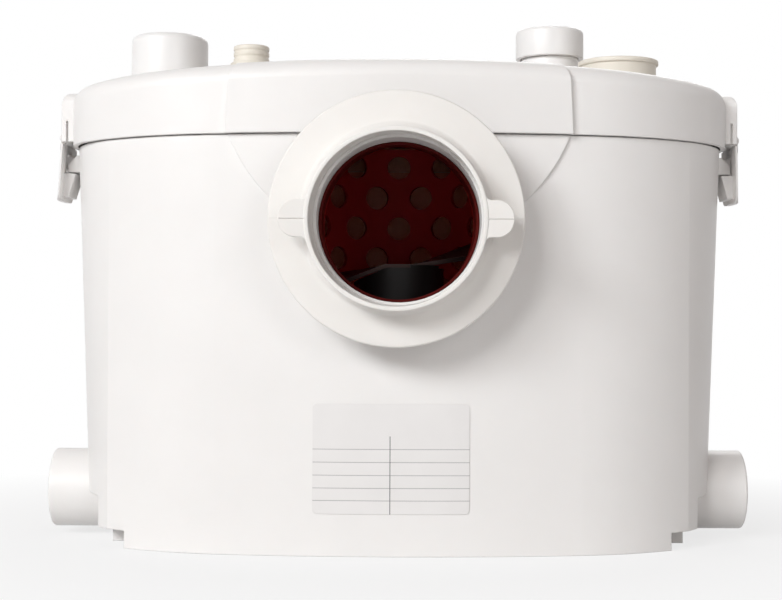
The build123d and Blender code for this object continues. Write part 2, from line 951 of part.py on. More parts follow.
# Lid seal
with BuildPart() as lid_seal:
    seal_plan = tank_face(rim_top, tank_front_top, tank_half_top, rim_inset + lid_rib_inset)
    extrude(seal_plan, amount=lid_seal_height)
    seal_hole = tank_face(
        rim_top - overrun, tank_front_top, tank_half_top, rim_inner_inset - lid_rib_inset
    )
    extrude(seal_hole, amount=lid_seal_height + 2 * overrun, mode=Mode.SUBTRACT)
save(lid_seal.part, "lid_seal")


# Latches and their pins
def latch_lever(lean):
    """The right-hand latch, leaning outward by lean degrees about its pin."""
    with BuildPart() as lever:
        # Gripping plate with the curved outer face of the hood
        extrude(hood_plan_sketch(0, latch_plate_foot), amount=latch_plate_top - latch_plate_foot)
        block(
            (latch_inner_face, -latch_plate_half, latch_plate_foot),
            (hood_crown + overrun, latch_plate_half, latch_plate_top),
            Mode.INTERSECT,
        )
        foot_corners = lever.edges().filter_by(Axis.X).group_by(Axis.Z)[0]
        fillet(foot_corners, latch_foot_round)
        # Knuckle and neck
        lengthways(
            latch_knuckle_radius,
            -latch_knuckle_half,
            latch_knuckle_half,
            latch_pivot_x,
            latch_pivot_height,
        )
        neck_low = (latch_inner_face, -latch_knuckle_half, latch_plate_top - latch_knuckle_radius)
        neck_high = (latch_pivot_x + hood_skin, latch_knuckle_half, latch_pivot_height)
        block(neck_low, neck_high)
        # Hook that catches under the tank's catch
        hook_shape = [
            (latch_pivot_x + hood_skin / 2, hook_top),
            (hook_tip, hook_top),
            (hook_toe, hook_foot),
            (latch_pivot_x + hood_skin / 2, hook_foot),
        ]
        side_slab(hook_shape, hook_half)
        # Window for the catch's nose
        block(
            (hook_tip, -window_half, window_floor),
            (hood_crown + overrun, window_half, window_top),
            Mode.SUBTRACT,
        )
        lengthways(
            latch_pin_radius + running_gap,
            -latch_knuckle_half - overrun,
            latch_knuckle_half + overrun,
            latch_pivot_x,
            latch_pivot_height,
            Mode.SUBTRACT,
        )
    pivot = Axis((latch_pivot_x, 0, latch_pivot_height), (0, -1, 0))
    return lever.part.rotate(pivot, lean)


with BuildPart() as latch_right:
    add(latch_lever(latch_lean_right))
save(latch_right.part, "latch_right")

with BuildPart() as latch_left:
    add(mirror(latch_lever(latch_lean_left), about=Plane.YZ))
save(latch_left.part, "latch_left")

with BuildPart() as latch_pins:
    for side in (-1, 1):
        lengthways(
            latch_pin_radius, -latch_pin_half, latch_pin_half, side * latch_pivot_x, latch_pivot_height
        )
save(latch_pins.part, "latch_pins")

# Pan connector
inlet_plane = Plane((0, 0, inlet_height), x_dir=(1, 0, 0), z_dir=(0, 0, -1))
inlet_axis = Axis((0, 0, inlet_height), (0, -1, 0))
with BuildPart() as pan_connector:
    with BuildSketch(inlet_plane) as connector_section:
        with BuildLine():
            Polyline(
                (mouth_bore, mouth_front),
                (mouth_radius, mouth_front),
                (neck_radius, neck_front),
                (flange_rim_radius, flange_rim_front),
            )
            ThreePointArc(
                (flange_rim_radius, flange_rim_front),
                (flange_radius, flange_middle),
                (flange_rim_radius, flange_back),
            )
            Polyline(
                (flange_rim_radius, flange_back),
                (flange_under_radius, flange_back + grip_step / 2),
                (grip_radius + band_thickness, grip_under_front),
                (grip_radius, grip_under_front),
                (grip_radius, flange_back),
                (spigot_radius + snug_gap, flange_back),
                (spigot_radius + snug_gap, spigot_front + overrun),
                (mouth_bore, spigot_front + overrun + grip_step),
                (mouth_bore, mouth_front),
            )
        make_face()
    revolve(connector_section.sketch, inlet_axis)
    # Pull tabs at both sides of the mouth
    tab_front = ear_set_back - mouth_front
    tab_centre = ear_reach - ear_half
    for side in (-1, 1):
        xs = sorted((side * mouth_bore, side * tab_centre))
        block(
            (xs[0], tab_front, inlet_height - ear_half),
            (xs[1], tab_front + ear_thickness, inlet_height + ear_half),
        )
        lengthways(ear_half, tab_front, tab_front + ear_thickness, side * tab_centre, inlet_height)
    lengthways(
        mouth_bore, -mouth_front - overrun, tab_front + 2 * ear_thickness, 0, inlet_height, Mode.SUBTRACT
    )
save(pan_connector.part, "pan_connector")

# Clamp band that holds the connector on the spigot
band_radius = grip_radius + snug_gap
band_back = flange_back + overrun
with BuildPart() as connector_band:
    lengthways(
        band_radius + band_thickness, -band_back - band_width, -band_back, 0, inlet_height
    )
    screw_house_top = inlet_height - band_radius - band_thickness / 2
    screw_house_back = -band_back + band_thickness / 2
    block(
        (-band_screw_length / 2, screw_house_back - band_screw_size, screw_house_top - band_screw_size),
        (band_screw_length / 2, screw_house_back, screw_house_top),
    )
    screw_house_y = screw_house_back - band_screw_size / 2
    screw_house_z = screw_house_top - band_screw_size / 2
    sideways(
        band_screw_size / 3,
        band_screw_length / 2,
        band_screw_length / 2 + band_screw_size / 2,
        screw_house_y,
        screw_house_z,
    )
    lengthways(
        band_radius, -band_back - band_width - overrun, overrun - band_back, 0, inlet_height,
        Mode.SUBTRACT,
    )
save(connector_band.part, "connector_band")

# Basket
with BuildPart() as basket:
    upright(basket_radius, basket_floor, basket_rim_top, (0, pump_y))
    rim_floor = basket_rim_top - basket_rim_thickness
    upright(basket_radius + basket_rim_reach, rim_floor, basket_rim_top, (0, pump_y))
    lengthways(
        spigot_bore - seat_gap,
        -basket_collar_front,
        pump_y - basket_bore / 2,
        0,
        inlet_height,
    )
    upright(
        basket_bore,
        basket_floor + basket_floor_thickness,
        basket_rim_top + overrun,
        (0, pump_y),
        Mode.SUBTRACT,
    )
    upright(
        basket_hub_hole,
        basket_floor - overrun,
        basket_floor + basket_floor_thickness + overrun,
        (0, pump_y),
        Mode.SUBTRACT,
    )
    lengthways(
        basket_collar_bore, -basket_collar_front - overrun, pump_y, 0, inlet_height, Mode.SUBTRACT
    )
    hole_step = 360 / holes_round
    for row in range(hole_rows):
        row_height = hole_top_row - row * hole_row_pitch
        row_shift = hole_step / 2 * (row % 2)
        for count in range(holes_round):
            turn = (count * hole_step + row_shift + 180) % 360 - 180
            if abs(turn) > holes_kept_within:
                continue
            outward = (math.sin(math.radians(turn)), math.cos(math.radians(turn)), 0)
            with Locations(Plane((0, pump_y, row_height), z_dir=outward)):
                Cylinder(hole_radius, basket_radius + overrun, align=ON_BASE, mode=Mode.SUBTRACT)
save(basket.part, "basket")


# Cutter on the top of the shaft
def blade_end(side, lift, pitch):
    """One end face of a blade wing."""
    tip_turn = math.radians(pitch)
    plane = Plane(
        (side * lift[0], pump_y, lift[1]),
        x_dir=(0, math.cos(tip_turn), math.sin(tip_turn)),
        z_dir=(1, 0, 0),
    )
    with BuildSketch(plane) as end_outline:
        Rectangle(blade_width, blade_thickness)
    return end_outline.sketch.face()


blade_centre_height = hub_seat + blade_thickness / 2
blade_run = blade_half - blade_root_half
blade_fall = blade_run * blade_slope_share
with BuildPart() as blade_wings:
    for side in (-1, 1):
        root = blade_end(side, (blade_root_half, blade_centre_height), 0)
        tip = blade_end(side, (blade_half, blade_centre_height + side * blade_fall), blade_pitch)
        loft([root, tip], ruled=True)

blade_top = hub_seat + blade_thickness
with BuildPart() as cutter_blade:
    add(blade_wings.part)
    block(
        (-blade_root_half, pump_y - blade_width / 2, hub_seat),
        (blade_root_half, pump_y + blade_width / 2, blade_top),
    )
    turned(
        [
            (0, hub_seat - overrun),
            (cutter_screw_radius + snug_gap, hub_seat - overrun),
            (cutter_screw_radius + snug_gap, hub_seat),
            (cutter_screw_head_radius + snug_gap, blade_top),
            (cutter_screw_head_radius + snug_gap, blade_top + overrun),
            (0, blade_top + overrun),
        ],
        (0, pump_y),
        Mode.SUBTRACT,
    )
save(cutter_blade.part, "cutter_blade")

with BuildPart() as cutter_hub:
    upright(hub_radius, hub_floor, hub_top, (0, pump_y))
    # Step and ramp under the falling wing
    block(
        (-hub_radius - overrun, pump_y - hub_radius - overrun, hub_seat),
        (hub_step_x, pump_y + hub_radius + overrun, hub_top + overrun),
        Mode.SUBTRACT,
    )
    ramp_run = hub_radius + overrun - hub_ramp_start
    ramp_shape = [
        (-hub_ramp_start, hub_seat),
        (-hub_ramp_start - ramp_run, hub_seat - ramp_run * hub_ramp_share),
        (-hub_ramp_start - ramp_run, hub_top),
        (-hub_ramp_start, hub_top),
    ]
    side_slab(ramp_shape, full_span / 2, Mode.SUBTRACT)
    # Channel for the rising wing
    channel_half = blade_width / 2 + snug_gap
    block(
        (0, pump_y - channel_half, hub_seat),
        (hub_radius + overrun, pump_y + channel_half, hub_top + overrun),
        Mode.SUBTRACT,
    )
    # Hollow underside round the boss
    turned(
        [
            (hub_boss_radius, hub_floor - overrun),
            (hub_radius - hub_wall, hub_floor - overrun),
            (hub_radius - hub_wall, hub_hollow_top),
            (hub_boss_radius, hub_hollow_top),
        ],
        (0, pump_y),
        Mode.SUBTRACT,
    )
    upright(
        shaft_end_radius + running_gap, hub_floor - overrun, hub_top + overrun, (0, pump_y), Mode.SUBTRACT
    )
    add(cutter_blade.part, mode=Mode.SUBTRACT)
save(cutter_hub.part, "cutter_hub")

with BuildPart() as cutter_screw:
    turned(
        [
            (0, cutter_screw_foot),
            (cutter_screw_radius, cutter_screw_foot),
            (cutter_screw_radius, hub_seat),
            (cutter_screw_head_radius, blade_top),
            (0, blade_top),
        ],
        (0, pump_y),
    )
    hexagon_post(
        cutter_screw_socket_radius,
        blade_top - cutter_screw_socket_depth,
        blade_top + overrun,
        (0, pump_y),
        Mode.SUBTRACT,
    )
save(cutter_screw.part, "cutter_screw")

# Shaft
middle_floor = bearing_lower_floor + bearing_lower_width + seat_gap
middle_roof = bearing_upper_floor - seat_gap
with BuildPart() as shaft:
    turned(
        [
            (0, shaft_foot),
            (shaft_end_radius, shaft_foot),
            (shaft_end_radius, middle_floor),
            (shaft_middle_radius, middle_floor),
            (shaft_middle_radius, middle_roof),
            (shaft_radius, middle_roof),
            (shaft_radius, hub_floor - seat_gap),
            (shaft_end_radius, hub_floor - seat_gap),
            (shaft_end_radius, shaft_tip),
            (0, shaft_tip),
        ],
        (0, pump_y),
    )
    upright(
        cutter_screw_radius + snug_gap, cutter_screw_foot - overrun, shaft_tip + overrun, (0, pump_y),
        Mode.SUBTRACT,
    )
save(shaft.part, "shaft")

# Rotor core with its end rings
core_floor = stator_floor + overrun
core_top = stator_top - overrun
with BuildPart() as rotor_core:
    ring_height = winding_height / 3
    turned(
        [
            (shaft_middle_radius + snug_gap, core_floor),
            (rotor_core_radius / 2, core_floor),
            (rotor_core_radius / 2, core_floor - ring_height),
            (rotor_core_radius - overrun, core_floor - ring_height),
            (rotor_core_radius - overrun, core_floor),
            (rotor_core_radius, core_floor),
            (rotor_core_radius, core_top),
            (rotor_core_radius - overrun, core_top),
            (rotor_core_radius - overrun, core_top + ring_height),
            (rotor_core_radius / 2, core_top + ring_height),
            (rotor_core_radius / 2, core_top),
            (shaft_middle_radius + snug_gap, core_top),
        ],
        (0, pump_y),
    )
save(rotor_core.part, "rotor_core")

# Stator core, slotted towards the rotor
with BuildPart() as stator_core:
    stator_radius = motor_radius - motor_wall - snug_gap
    upright(stator_radius, stator_floor, stator_top, (0, pump_y))
    slot_inner = (stator_bore + winding_inner) / 2
    with Locations((0, pump_y, (stator_floor + stator_top) / 2)):
        with PolarLocations((slot_inner + winding_outer) / 2, 2 * holes_round):
            Box(
                winding_outer - slot_inner,
                winding_round,
                stator_top - stator_floor + overrun,
                mode=Mode.SUBTRACT,
            )
    upright(stator_bore, stator_floor - overrun, stator_top + overrun, (0, pump_y), Mode.SUBTRACT)
save(stator_core.part, "stator_core")

# Windings, one ring at each end of the core
with BuildPart() as windings:
    for ring_floor in (stator_floor - winding_height, stator_top):
        with Locations((0, pump_y, ring_floor)):
            ring_middle = (winding_inner + winding_outer) / 2
            ring_width = winding_outer - winding_inner
            with BuildSketch(Plane((0, pump_y, 0), x_dir=(1, 0, 0), z_dir=(0, -1, 0))) as ring_section:
                with Locations((ring_middle, ring_floor + winding_height / 2)):
                    RectangleRounded(ring_width, winding_height, winding_round)
        revolve(ring_section.sketch, Axis((0, pump_y, 0), (0, 0, 1)))
save(windings.part, "windings")


# Bearings and shaft seals
def bearing_outline(bore, outer, floor, width):
    """Half section of a bearing with its shields set in."""
    roof = floor + width
    return [
        (bore, floor),
        (bore + bearing_land, floor),
        (bore + bearing_land, floor + bearing_groove),
        (outer - bearing_land, floor + bearing_groove),
        (outer - bearing_land, floor),
        (outer, floor),
        (outer, roof),
        (outer - bearing_land, roof),
        (outer - bearing_land, roof - bearing_groove),
        (bore + bearing_land, roof - bearing_groove),
        (bore + bearing_land, roof),
        (bore, roof),
    ]


with BuildPart() as bearing_lower:
    lower_bore = shaft_end_radius + running_gap
    turned(
        bearing_outline(lower_bore, bearing_lower_radius, bearing_lower_floor, bearing_lower_width),
        (0, pump_y),
    )
save(bearing_lower.part, "bearing_lower")

with BuildPart() as bearing_upper:
    upper_bore = shaft_radius + running_gap
    turned(
        bearing_outline(upper_bore, bearing_upper_radius, bearing_upper_floor, bearing_upper_width),
        (0, pump_y),
    )
save(bearing_upper.part, "bearing_upper")


def seal_outline(bore, outer, floor, roof):
    """Half section of a lipped shaft seal, open on its lower side."""
    wall = (outer - bore) / 3
    return [
        (bore, floor),
        (bore + wall, floor),
        (bore + wall, floor + (roof - floor) / 2),
        (outer - wall, floor + (roof - floor) / 2),
        (outer - wall, floor),
        (outer, floor),
        (outer, roof),
        (bore, roof),
    ]


with BuildPart() as seal_upper:
    turned(
        seal_outline(shaft_radius + running_gap, seal_upper_radius, seal_upper_floor, motor_cover_top),
        (0, pump_y),
    )
save(seal_upper.part, "seal_upper")

seal_lower_top = bearing_lower_floor - bearing_web
seal_lower_floor = volute_chamber_top + overrun / 2
with BuildPart() as seal_lower:
    turned(
        seal_outline(shaft_end_radius + running_gap, seal_lower_radius, seal_lower_floor, seal_lower_top),
        (0, pump_y),
    )
save(seal_lower.part, "seal_lower")


# Motor housing, base and cover
def tie_places():
    """Places of the long motor screws, clear of the front wall and the outlet."""
    for count in range(tie_count):
        turn = math.radians(tie_start_angle + count * 360 / tie_count)
        yield (tie_circle * math.cos(turn), pump_y + tie_circle * math.sin(turn))


def tie_ears(floor, roof):
    """Ears that carry the long motor screws."""
    for x, y in tie_places():
        upright(tie_ear_radius, floor, roof, (x, y))
        turn = math.degrees(math.atan2(y - pump_y, x))
        with Locations(Location((x / 2, (y + pump_y) / 2, floor), (0, 0, turn))):
            Box(tie_circle, 2 * tie_ear_radius, roof - floor, align=ON_BASE)


def tie_holes(floor, roof):
    """Holes for the long motor screws."""
    for place in tie_places():
        upright(tie_radius + snug_gap, floor - overrun, roof + overrun, place, Mode.SUBTRACT)


motor_seal_radius = motor_radius - motor_wall / 2
with BuildPart() as motor_housing:
    upright(motor_radius, motor_base_top, motor_cover_floor, (0, pump_y))
    upright(
        motor_radius - motor_wall,
        motor_base_top - overrun,
        motor_cover_floor + overrun,
        (0, pump_y),
        Mode.SUBTRACT,
    )
    groove_inner = motor_seal_radius - motor_seal_width / 2
    groove_outer = motor_seal_radius + motor_seal_width / 2
    groove_floor = motor_cover_floor - motor_seal_height
    turned(
        [
            (groove_inner, groove_floor),
            (groove_outer, groove_floor),
            (groove_outer, motor_cover_floor + overrun),
            (groove_inner, motor_cover_floor + overrun),
        ],
        (0, pump_y),
        Mode.SUBTRACT,
    )
save(motor_housing.part, "motor_housing")

with BuildPart() as motor_seal:
    turned(
        [
            (groove_inner + running_gap, groove_floor + running_gap),
            (groove_outer - running_gap, groove_floor + running_gap),
            (groove_outer - running_gap, motor_cover_floor),
            (groove_inner + running_gap, motor_cover_floor),
        ],
        (0, pump_y),
    )
save(motor_seal.part, "motor_seal")

with BuildPart() as motor_base:
    upright(motor_radius, motor_base_floor, motor_base_top, (0, pump_y))
    tie_ears(motor_base_floor, motor_base_top)
    tie_holes(motor_base_floor, motor_base_top)
    lower_boss_top = bearing_lower_floor + bearing_lower_width
    upright(bearing_lower_radius + bearing_boss_wall, motor_base_floor, lower_boss_top, (0, pump_y))
    upright(
        bearing_lower_radius, bearing_lower_floor, lower_boss_top + overrun, (0, pump_y), Mode.SUBTRACT
    )
    upright(
        bearing_lower_radius - bearing_land, motor_base_floor - overrun, lower_boss_top, (0, pump_y),
        Mode.SUBTRACT,
    )
    upright(
        seal_lower_radius, motor_base_floor - overrun, seal_lower_top, (0, pump_y), Mode.SUBTRACT
    )
    with Locations((0, pump_y, motor_base_floor - overrun)):
        with PolarLocations(plate_screw_circle, plate_screw_count, plate_screw_start_angle):
            Cylinder(
                plate_screw_radius + running_gap,
                plate_screw_top - motor_base_floor + overrun,
                align=ON_BASE,
                mode=Mode.SUBTRACT,
            )
save(motor_base.part, "motor_base")

lead_turn = math.radians(lead_angle)
lead_x = lead_circle * math.cos(lead_turn)
lead_y = pump_y + lead_circle * math.sin(lead_turn)
with BuildPart() as motor_cover:
    upright(motor_radius, motor_cover_floor, motor_cover_top, (0, pump_y))
    tie_ears(motor_cover_floor, motor_cover_top)
    tie_holes(motor_cover_floor, motor_cover_top)
    # Lobe where the lead enters
    upright(lead_lobe_radius, motor_cover_floor, motor_cover_top, (lead_x, lead_y))
    with Locations(Location((lead_x / 2, (lead_y + pump_y) / 2, motor_cover_floor), (0, 0, lead_angle))):
        Box(lead_circle, 2 * lead_lobe_radius, motor_cover_thickness, align=ON_BASE)
    upright(
        lead_radius + snug_gap,
        motor_cover_top - lead_socket_depth,
        motor_cover_top + overrun,
        (lead_x, lead_y),
        Mode.SUBTRACT,
    )
    # Seat for the upper bearing and seal
    upright(
        bearing_upper_radius + bearing_boss_wall, bearing_upper_floor, motor_cover_top, (0, pump_y)
    )
    upright(
        bearing_upper_radius, bearing_upper_floor - overrun, upper_bearing_top, (0, pump_y), Mode.SUBTRACT
    )
    upright(
        seal_upper_radius, bearing_upper_floor, motor_cover_top + overrun, (0, pump_y), Mode.SUBTRACT
    )
save(motor_cover.part, "motor_cover")

with BuildPart() as motor_screws:
    for place in tie_places():
        upright(tie_radius, motor_base_floor + overrun, motor_cover_top + overrun, place)
        upright(tie_head_radius, motor_cover_top, motor_cover_top + tie_head_height, place)
        socket_floor = motor_cover_top + tie_head_height - tie_socket_depth
        hexagon_post(
            tie_socket_radius,
            socket_floor,
            motor_cover_top + tie_head_height + overrun,
            place,
            Mode.SUBTRACT,
        )
save(motor_screws.part, "motor_screws")

# Pump casing with its tangential outlet
with BuildPart() as volute:
    upright(volute_radius, volute_floor, motor_base_floor, (0, pump_y))
    sideways(outlet_radius, 0, outlet_end, riser_y, outlet_height)
    upright(volute_chamber_radius, volute_floor - overrun, volute_chamber_top, (0, pump_y), Mode.SUBTRACT)
    upright(seal_lower_radius, volute_floor, motor_base_floor + overrun, (0, pump_y), Mode.SUBTRACT)
    sideways(outlet_bore, 0, outlet_end + overrun, riser_y, outlet_height, Mode.SUBTRACT)
    with Locations((0, pump_y, volute_floor - overrun)):
        with PolarLocations(plate_screw_circle, plate_screw_count, plate_screw_start_angle):
            Cylinder(
                plate_screw_radius + running_gap,
                motor_base_floor - volute_floor + 2 * overrun,
                align=ON_BASE,
                mode=Mode.SUBTRACT,
            )
save(volute.part, "volute")

# Impeller and its nut
with BuildPart() as impeller:
    upright(impeller_radius, impeller_disc_floor, impeller_disc_top, (0, pump_y))
    upright(impeller_hub_radius, impeller_floor, impeller_hub_top, (0, pump_y))
    with BuildSketch(Plane.XY.offset(impeller_floor)) as vanes:
        with Locations((0, pump_y)):
            with PolarLocations(0, vane_count):
                with Locations((impeller_hub_radius - vane_thickness, 0)):
                    SlotArc(
                        CenterArc((0, vane_arc_radius), vane_arc_radius, -90, vane_sweep), vane_thickness
                    )
    extrude(vanes.sketch, amount=impeller_disc_top - impeller_floor)
    upright(impeller_radius, impeller_floor, impeller_hub_top, (0, pump_y), Mode.INTERSECT)
    upright(
        shaft_end_radius + snug_gap, impeller_floor - overrun, impeller_hub_top + overrun, (0, pump_y),
        Mode.SUBTRACT,
    )
save(impeller.part, "impeller")

with BuildPart() as impeller_nut:
    hexagon_post(impeller_nut_radius, impeller_nut_floor, impeller_floor, (0, pump_y))
    upright(
        shaft_end_radius + running_gap, shaft_foot - running_gap, impeller_floor + overrun, (0, pump_y),
        Mode.SUBTRACT,
    )
save(impeller_nut.part, "impeller_nut")

# Suction plate and its screws
with BuildPart() as suction_plate:
    upright(volute_radius, suction_plate_floor, volute_floor, (0, pump_y))
    upright(suction_eye, suction_plate_floor - overrun, volute_floor + overrun, (0, pump_y), Mode.SUBTRACT)
    with Locations((0, pump_y, suction_plate_floor - overrun)):
        with PolarLocations(plate_screw_circle, plate_screw_count, plate_screw_start_angle):
            Cylinder(
                plate_screw_radius + running_gap,
                volute_floor - suction_plate_floor + 2 * overrun,
                align=ON_BASE,
                mode=Mode.SUBTRACT,
            )
save(suction_plate.part, "suction_plate")

with BuildPart() as plate_screws:
    with Locations((0, pump_y, suction_plate_floor - plate_screw_head_height)):
        with PolarLocations(plate_screw_circle, plate_screw_count, plate_screw_start_angle):
            Cylinder(plate_screw_head_radius, plate_screw_head_height, align=ON_BASE)
            Cylinder(
                plate_screw_radius,
                plate_screw_top - suction_plate_floor,
                align=ON_BASE,
            )
save(plate_screws.part, "plate_screws")

# Rubber mounts under the pump
with BuildPart() as rubber_mounts:
    for count in range(mount_count):
        turn = math.radians(mount_start_angle + count * 360 / mount_count)
        place = (mount_circle * math.cos(turn), pump_y + mount_circle * math.sin(turn))
        mount_third = (suction_plate_floor - tank_wall) / 3
        turned(
            [
                (0, tank_wall),
                (mount_radius, tank_wall),
                (mount_radius, tank_wall + mount_third),
                (mount_radius - mount_groove, tank_wall + mount_third),
                (mount_radius - mount_groove, suction_plate_floor - mount_third),
                (mount_radius, suction_plate_floor - mount_third),
                (mount_radius, suction_plate_floor),
                (0, suction_plate_floor),
            ],
            place,
        )
save(rubber_mounts.part, "rubber_mounts")

# Riser pipe from the pump to the non-return valve
with BuildPart() as riser:
    bend_start = riser_x - riser_bend
    with BuildLine() as riser_path:
        Polyline((riser_socket_start, riser_y, outlet_height), (bend_start, riser_y, outlet_height))
        ThreePointArc(
            (bend_start, riser_y, outlet_height),
            (
                bend_start + riser_bend * math.sin(math.pi / 4),
                riser_y,
                outlet_height + riser_bend * (1 - math.cos(math.pi / 4)),
            ),
            (riser_x, riser_y, outlet_height + riser_bend),
        )
        Line(
            (riser_x, riser_y, outlet_height + riser_bend),
            (riser_x, riser_y, riser_top),
        )
    mouth_plane = Plane((riser_socket_start, riser_y, outlet_height), z_dir=(1, 0, 0))
    with BuildSketch(mouth_plane) as riser_outer:
        Circle(riser_radius)
    sweep(riser_outer.sketch, path=riser_path.line)
    with BuildSketch(mouth_plane) as riser_inner:
        Circle(riser_bore)
    sweep(riser_inner.sketch, path=riser_path.line, mode=Mode.SUBTRACT)
    # Narrow collar that stops the outlet tube
    with Locations((riser_socket_end, riser_y, outlet_height)):
        Cylinder(
            riser_bore + overrun, overrun, rotation=(0, 90, 0), align=ON_BASE
        )
    sideways(
        outlet_bore, riser_socket_start, riser_socket_end + 2 * overrun, riser_y, outlet_height,
        Mode.SUBTRACT,
    )
save(riser.part, "riser")

with BuildPart() as riser_sleeve:
    sideways(riser_bore - running_gap, riser_socket_start, outlet_end, riser_y, outlet_height)
    sideways(
        outlet_radius + running_gap, riser_socket_start - overrun, outlet_end + overrun, riser_y,
        outlet_height, Mode.SUBTRACT,
    )
save(riser_sleeve.part, "riser_sleeve")

# Non-return valve body with lugs for the flap pin
valve_place = (riser_x, riser_y)
valve_pin_x = riser_x - valve_pin_offset
with BuildPart() as valve_body:
    socket_radius = riser_radius + snug_gap
    turned(
        [
            (socket_radius, valve_floor),
            (socket_radius + valve_wall, valve_floor),
            (socket_radius + valve_wall, riser_top - valve_wall),
            (valve_radius, riser_top + valve_wall / 2),
            (valve_radius, valve_roof),
            (neck_bore, valve_roof),
            (neck_bore, valve_roof - valve_wall),
            (valve_radius - valve_wall, valve_roof - valve_wall),
            (valve_radius - valve_wall, valve_seat_top),
            (valve_seat_bore, valve_seat_top),
            (valve_seat_bore, riser_top),
            (socket_radius, riser_top),
        ],
        valve_place,
    )
    for end in (-1, 1):
        near = end * (valve_knuckle_half + seat_gap)
        far = end * (valve_knuckle_half + seat_gap + valve_ear_width)
        ys = sorted((riser_y + near, riser_y + far))
        block(
            (valve_pin_x - 2 * valve_pin_radius, ys[0], riser_top),
            (valve_pin_x + 2 * valve_pin_radius, ys[1], valve_pin_height + 2 * valve_pin_radius),
        )
    lengthways(
        valve_pin_radius + snug_gap,
        riser_y - valve_pin_half - snug_gap,
        riser_y + valve_pin_half + snug_gap,
        valve_pin_x,
        valve_pin_height,
        Mode.SUBTRACT,
    )
save(valve_body.part, "valve_body")

with BuildPart() as valve_flap:
    flap_floor = valve_seat_top + seat_gap
    flap_roof = flap_floor + valve_flap_thickness
    upright(valve_flap_radius, flap_floor, flap_roof, valve_place)
    block(
        (valve_pin_x, riser_y - valve_knuckle_half, valve_pin_height - valve_flap_thickness / 2),
        (riser_x, riser_y + valve_knuckle_half, flap_roof + valve_flap_thickness / 2),
    )
    lengthways(
        valve_knuckle_radius,
        riser_y - valve_knuckle_half,
        riser_y + valve_knuckle_half,
        valve_pin_x,
        valve_pin_height,
    )
    lengthways(
        valve_pin_radius + running_gap,
        riser_y - valve_knuckle_half - overrun,
        riser_y + valve_knuckle_half + overrun,
        valve_pin_x,
        valve_pin_height,
        Mode.SUBTRACT,
    )
save(valve_flap.part, "valve_flap")

# Seal ring and discharge neck
with BuildPart() as neck_seal:
    turned(
        [
            (neck_bore, valve_roof),
            (neck_flange_radius, valve_roof),
            (neck_flange_radius, discharge_neck_floor),
            (neck_bore, discharge_neck_floor),
        ],
        valve_place,
    )
save(neck_seal.part, "neck_seal")

with BuildPart() as discharge_neck:
    flange_top = discharge_neck_floor + neck_flange_thickness
    turned(
        [
            (neck_bore, discharge_neck_floor),
            (neck_flange_radius, discharge_neck_floor),
            (neck_flange_radius, flange_top),
            (discharge_neck_radius, flange_top),
            (discharge_neck_radius, discharge_neck_top),
            (neck_bore, discharge_neck_top),
        ],
        valve_place,
    )
save(discharge_neck.part, "discharge_neck")

# Discharge cap and its sealing disc
cap_ceiling = cap_top - cap_roof
with BuildPart() as discharge_cap:
    upright(cap_radius, cap_floor, cap_top, valve_place)
    fillet(discharge_cap.faces().sort_by(Axis.Z)[-1].edges(), cap_round)
    upright(
        discharge_neck_radius + cap_gap, cap_floor - overrun, cap_ceiling, valve_place, Mode.SUBTRACT
    )
save(discharge_cap.part, "discharge_cap")

with BuildPart() as cap_disc:
    upright(discharge_neck_radius, discharge_neck_top + seat_gap, cap_ceiling, valve_place)
save(cap_disc.part, "cap_disc")

# Vent cap and filter
with BuildPart() as vent_cap:
    vent_place = (vent_x, vent_y)
    upright(vent_cap_radius, stub_boss_top + seat_gap, vent_cap_top, vent_place)
    fillet(vent_cap.faces().sort_by(Axis.Z)[-1].edges(), vent_cap_round)
    vent_cap_ceiling = vent_cap_top - vent_cap_roof
    upright(vent_neck_radius + cap_gap, stub_boss_top, vent_cap_ceiling, vent_place, Mode.SUBTRACT)
save(vent_cap.part, "vent_cap")

with BuildPart() as vent_filter:
    upright(vent_neck_bore - snug_gap, stub_boss_top, stub_boss_top + filter_height, vent_place)
save(vent_filter.part, "vent_filter")

# Top inlet cap
with BuildPart() as top_inlet_cap:
    inlet_place = (top_inlet_x, top_inlet_y)
    cap_lip_floor = inlet_cap_top - inlet_cap_rim_thickness
    turned(
        [
            (0, top_inlet_top + seat_gap),
            (top_inlet_radius + cap_gap, top_inlet_top + seat_gap),
            (top_inlet_radius + cap_gap, stub_boss_top + seat_gap),
            (inlet_cap_radius, stub_boss_top + seat_gap),
            (inlet_cap_radius, cap_lip_floor),
            (inlet_cap_rim_radius, cap_lip_floor),
            (inlet_cap_rim_radius, inlet_cap_top),
            (0, inlet_cap_top),
        ],
        inlet_place,
    )
save(top_inlet_cap.part, "top_inlet_cap")

# Cable gland and its nut
with BuildPart() as cable_gland:
    gland_outline = [
        (gland_chamber_bore, gland_shank_floor),
        (gland_shank_radius, gland_shank_floor),
        (gland_shank_radius, gland_boss_top),
        (gland_base_radius, gland_boss_top),
        (gland_base_radius, gland_base_top),
        (gland_stub_radius, gland_base_top),
    ]
    rib_pitch = (gland_top - gland_base_top) / gland_rib_count
    for rib in range(1, gland_rib_count):
        rib_height = gland_base_top + rib * rib_pitch
        gland_outline += [
            (gland_stub_radius, rib_height - gland_rib_width / 2),
            (gland_stub_radius - gland_rib_depth, rib_height - gland_rib_width / 2),
            (gland_stub_radius - gland_rib_depth, rib_height + gland_rib_width / 2),
            (gland_stub_radius, rib_height + gland_rib_width / 2),
        ]
    gland_chamber_top = gland_boss_top + gland_chamber_rise
    gland_outline += [
        (gland_stub_radius, gland_top),
        (gland_bore, gland_top),
        (gland_bore, gland_chamber_top),
        (gland_chamber_bore, gland_chamber_top),
    ]
    turned(gland_outline, (gland_x, gland_y))
save(cable_gland.part, "cable_gland")

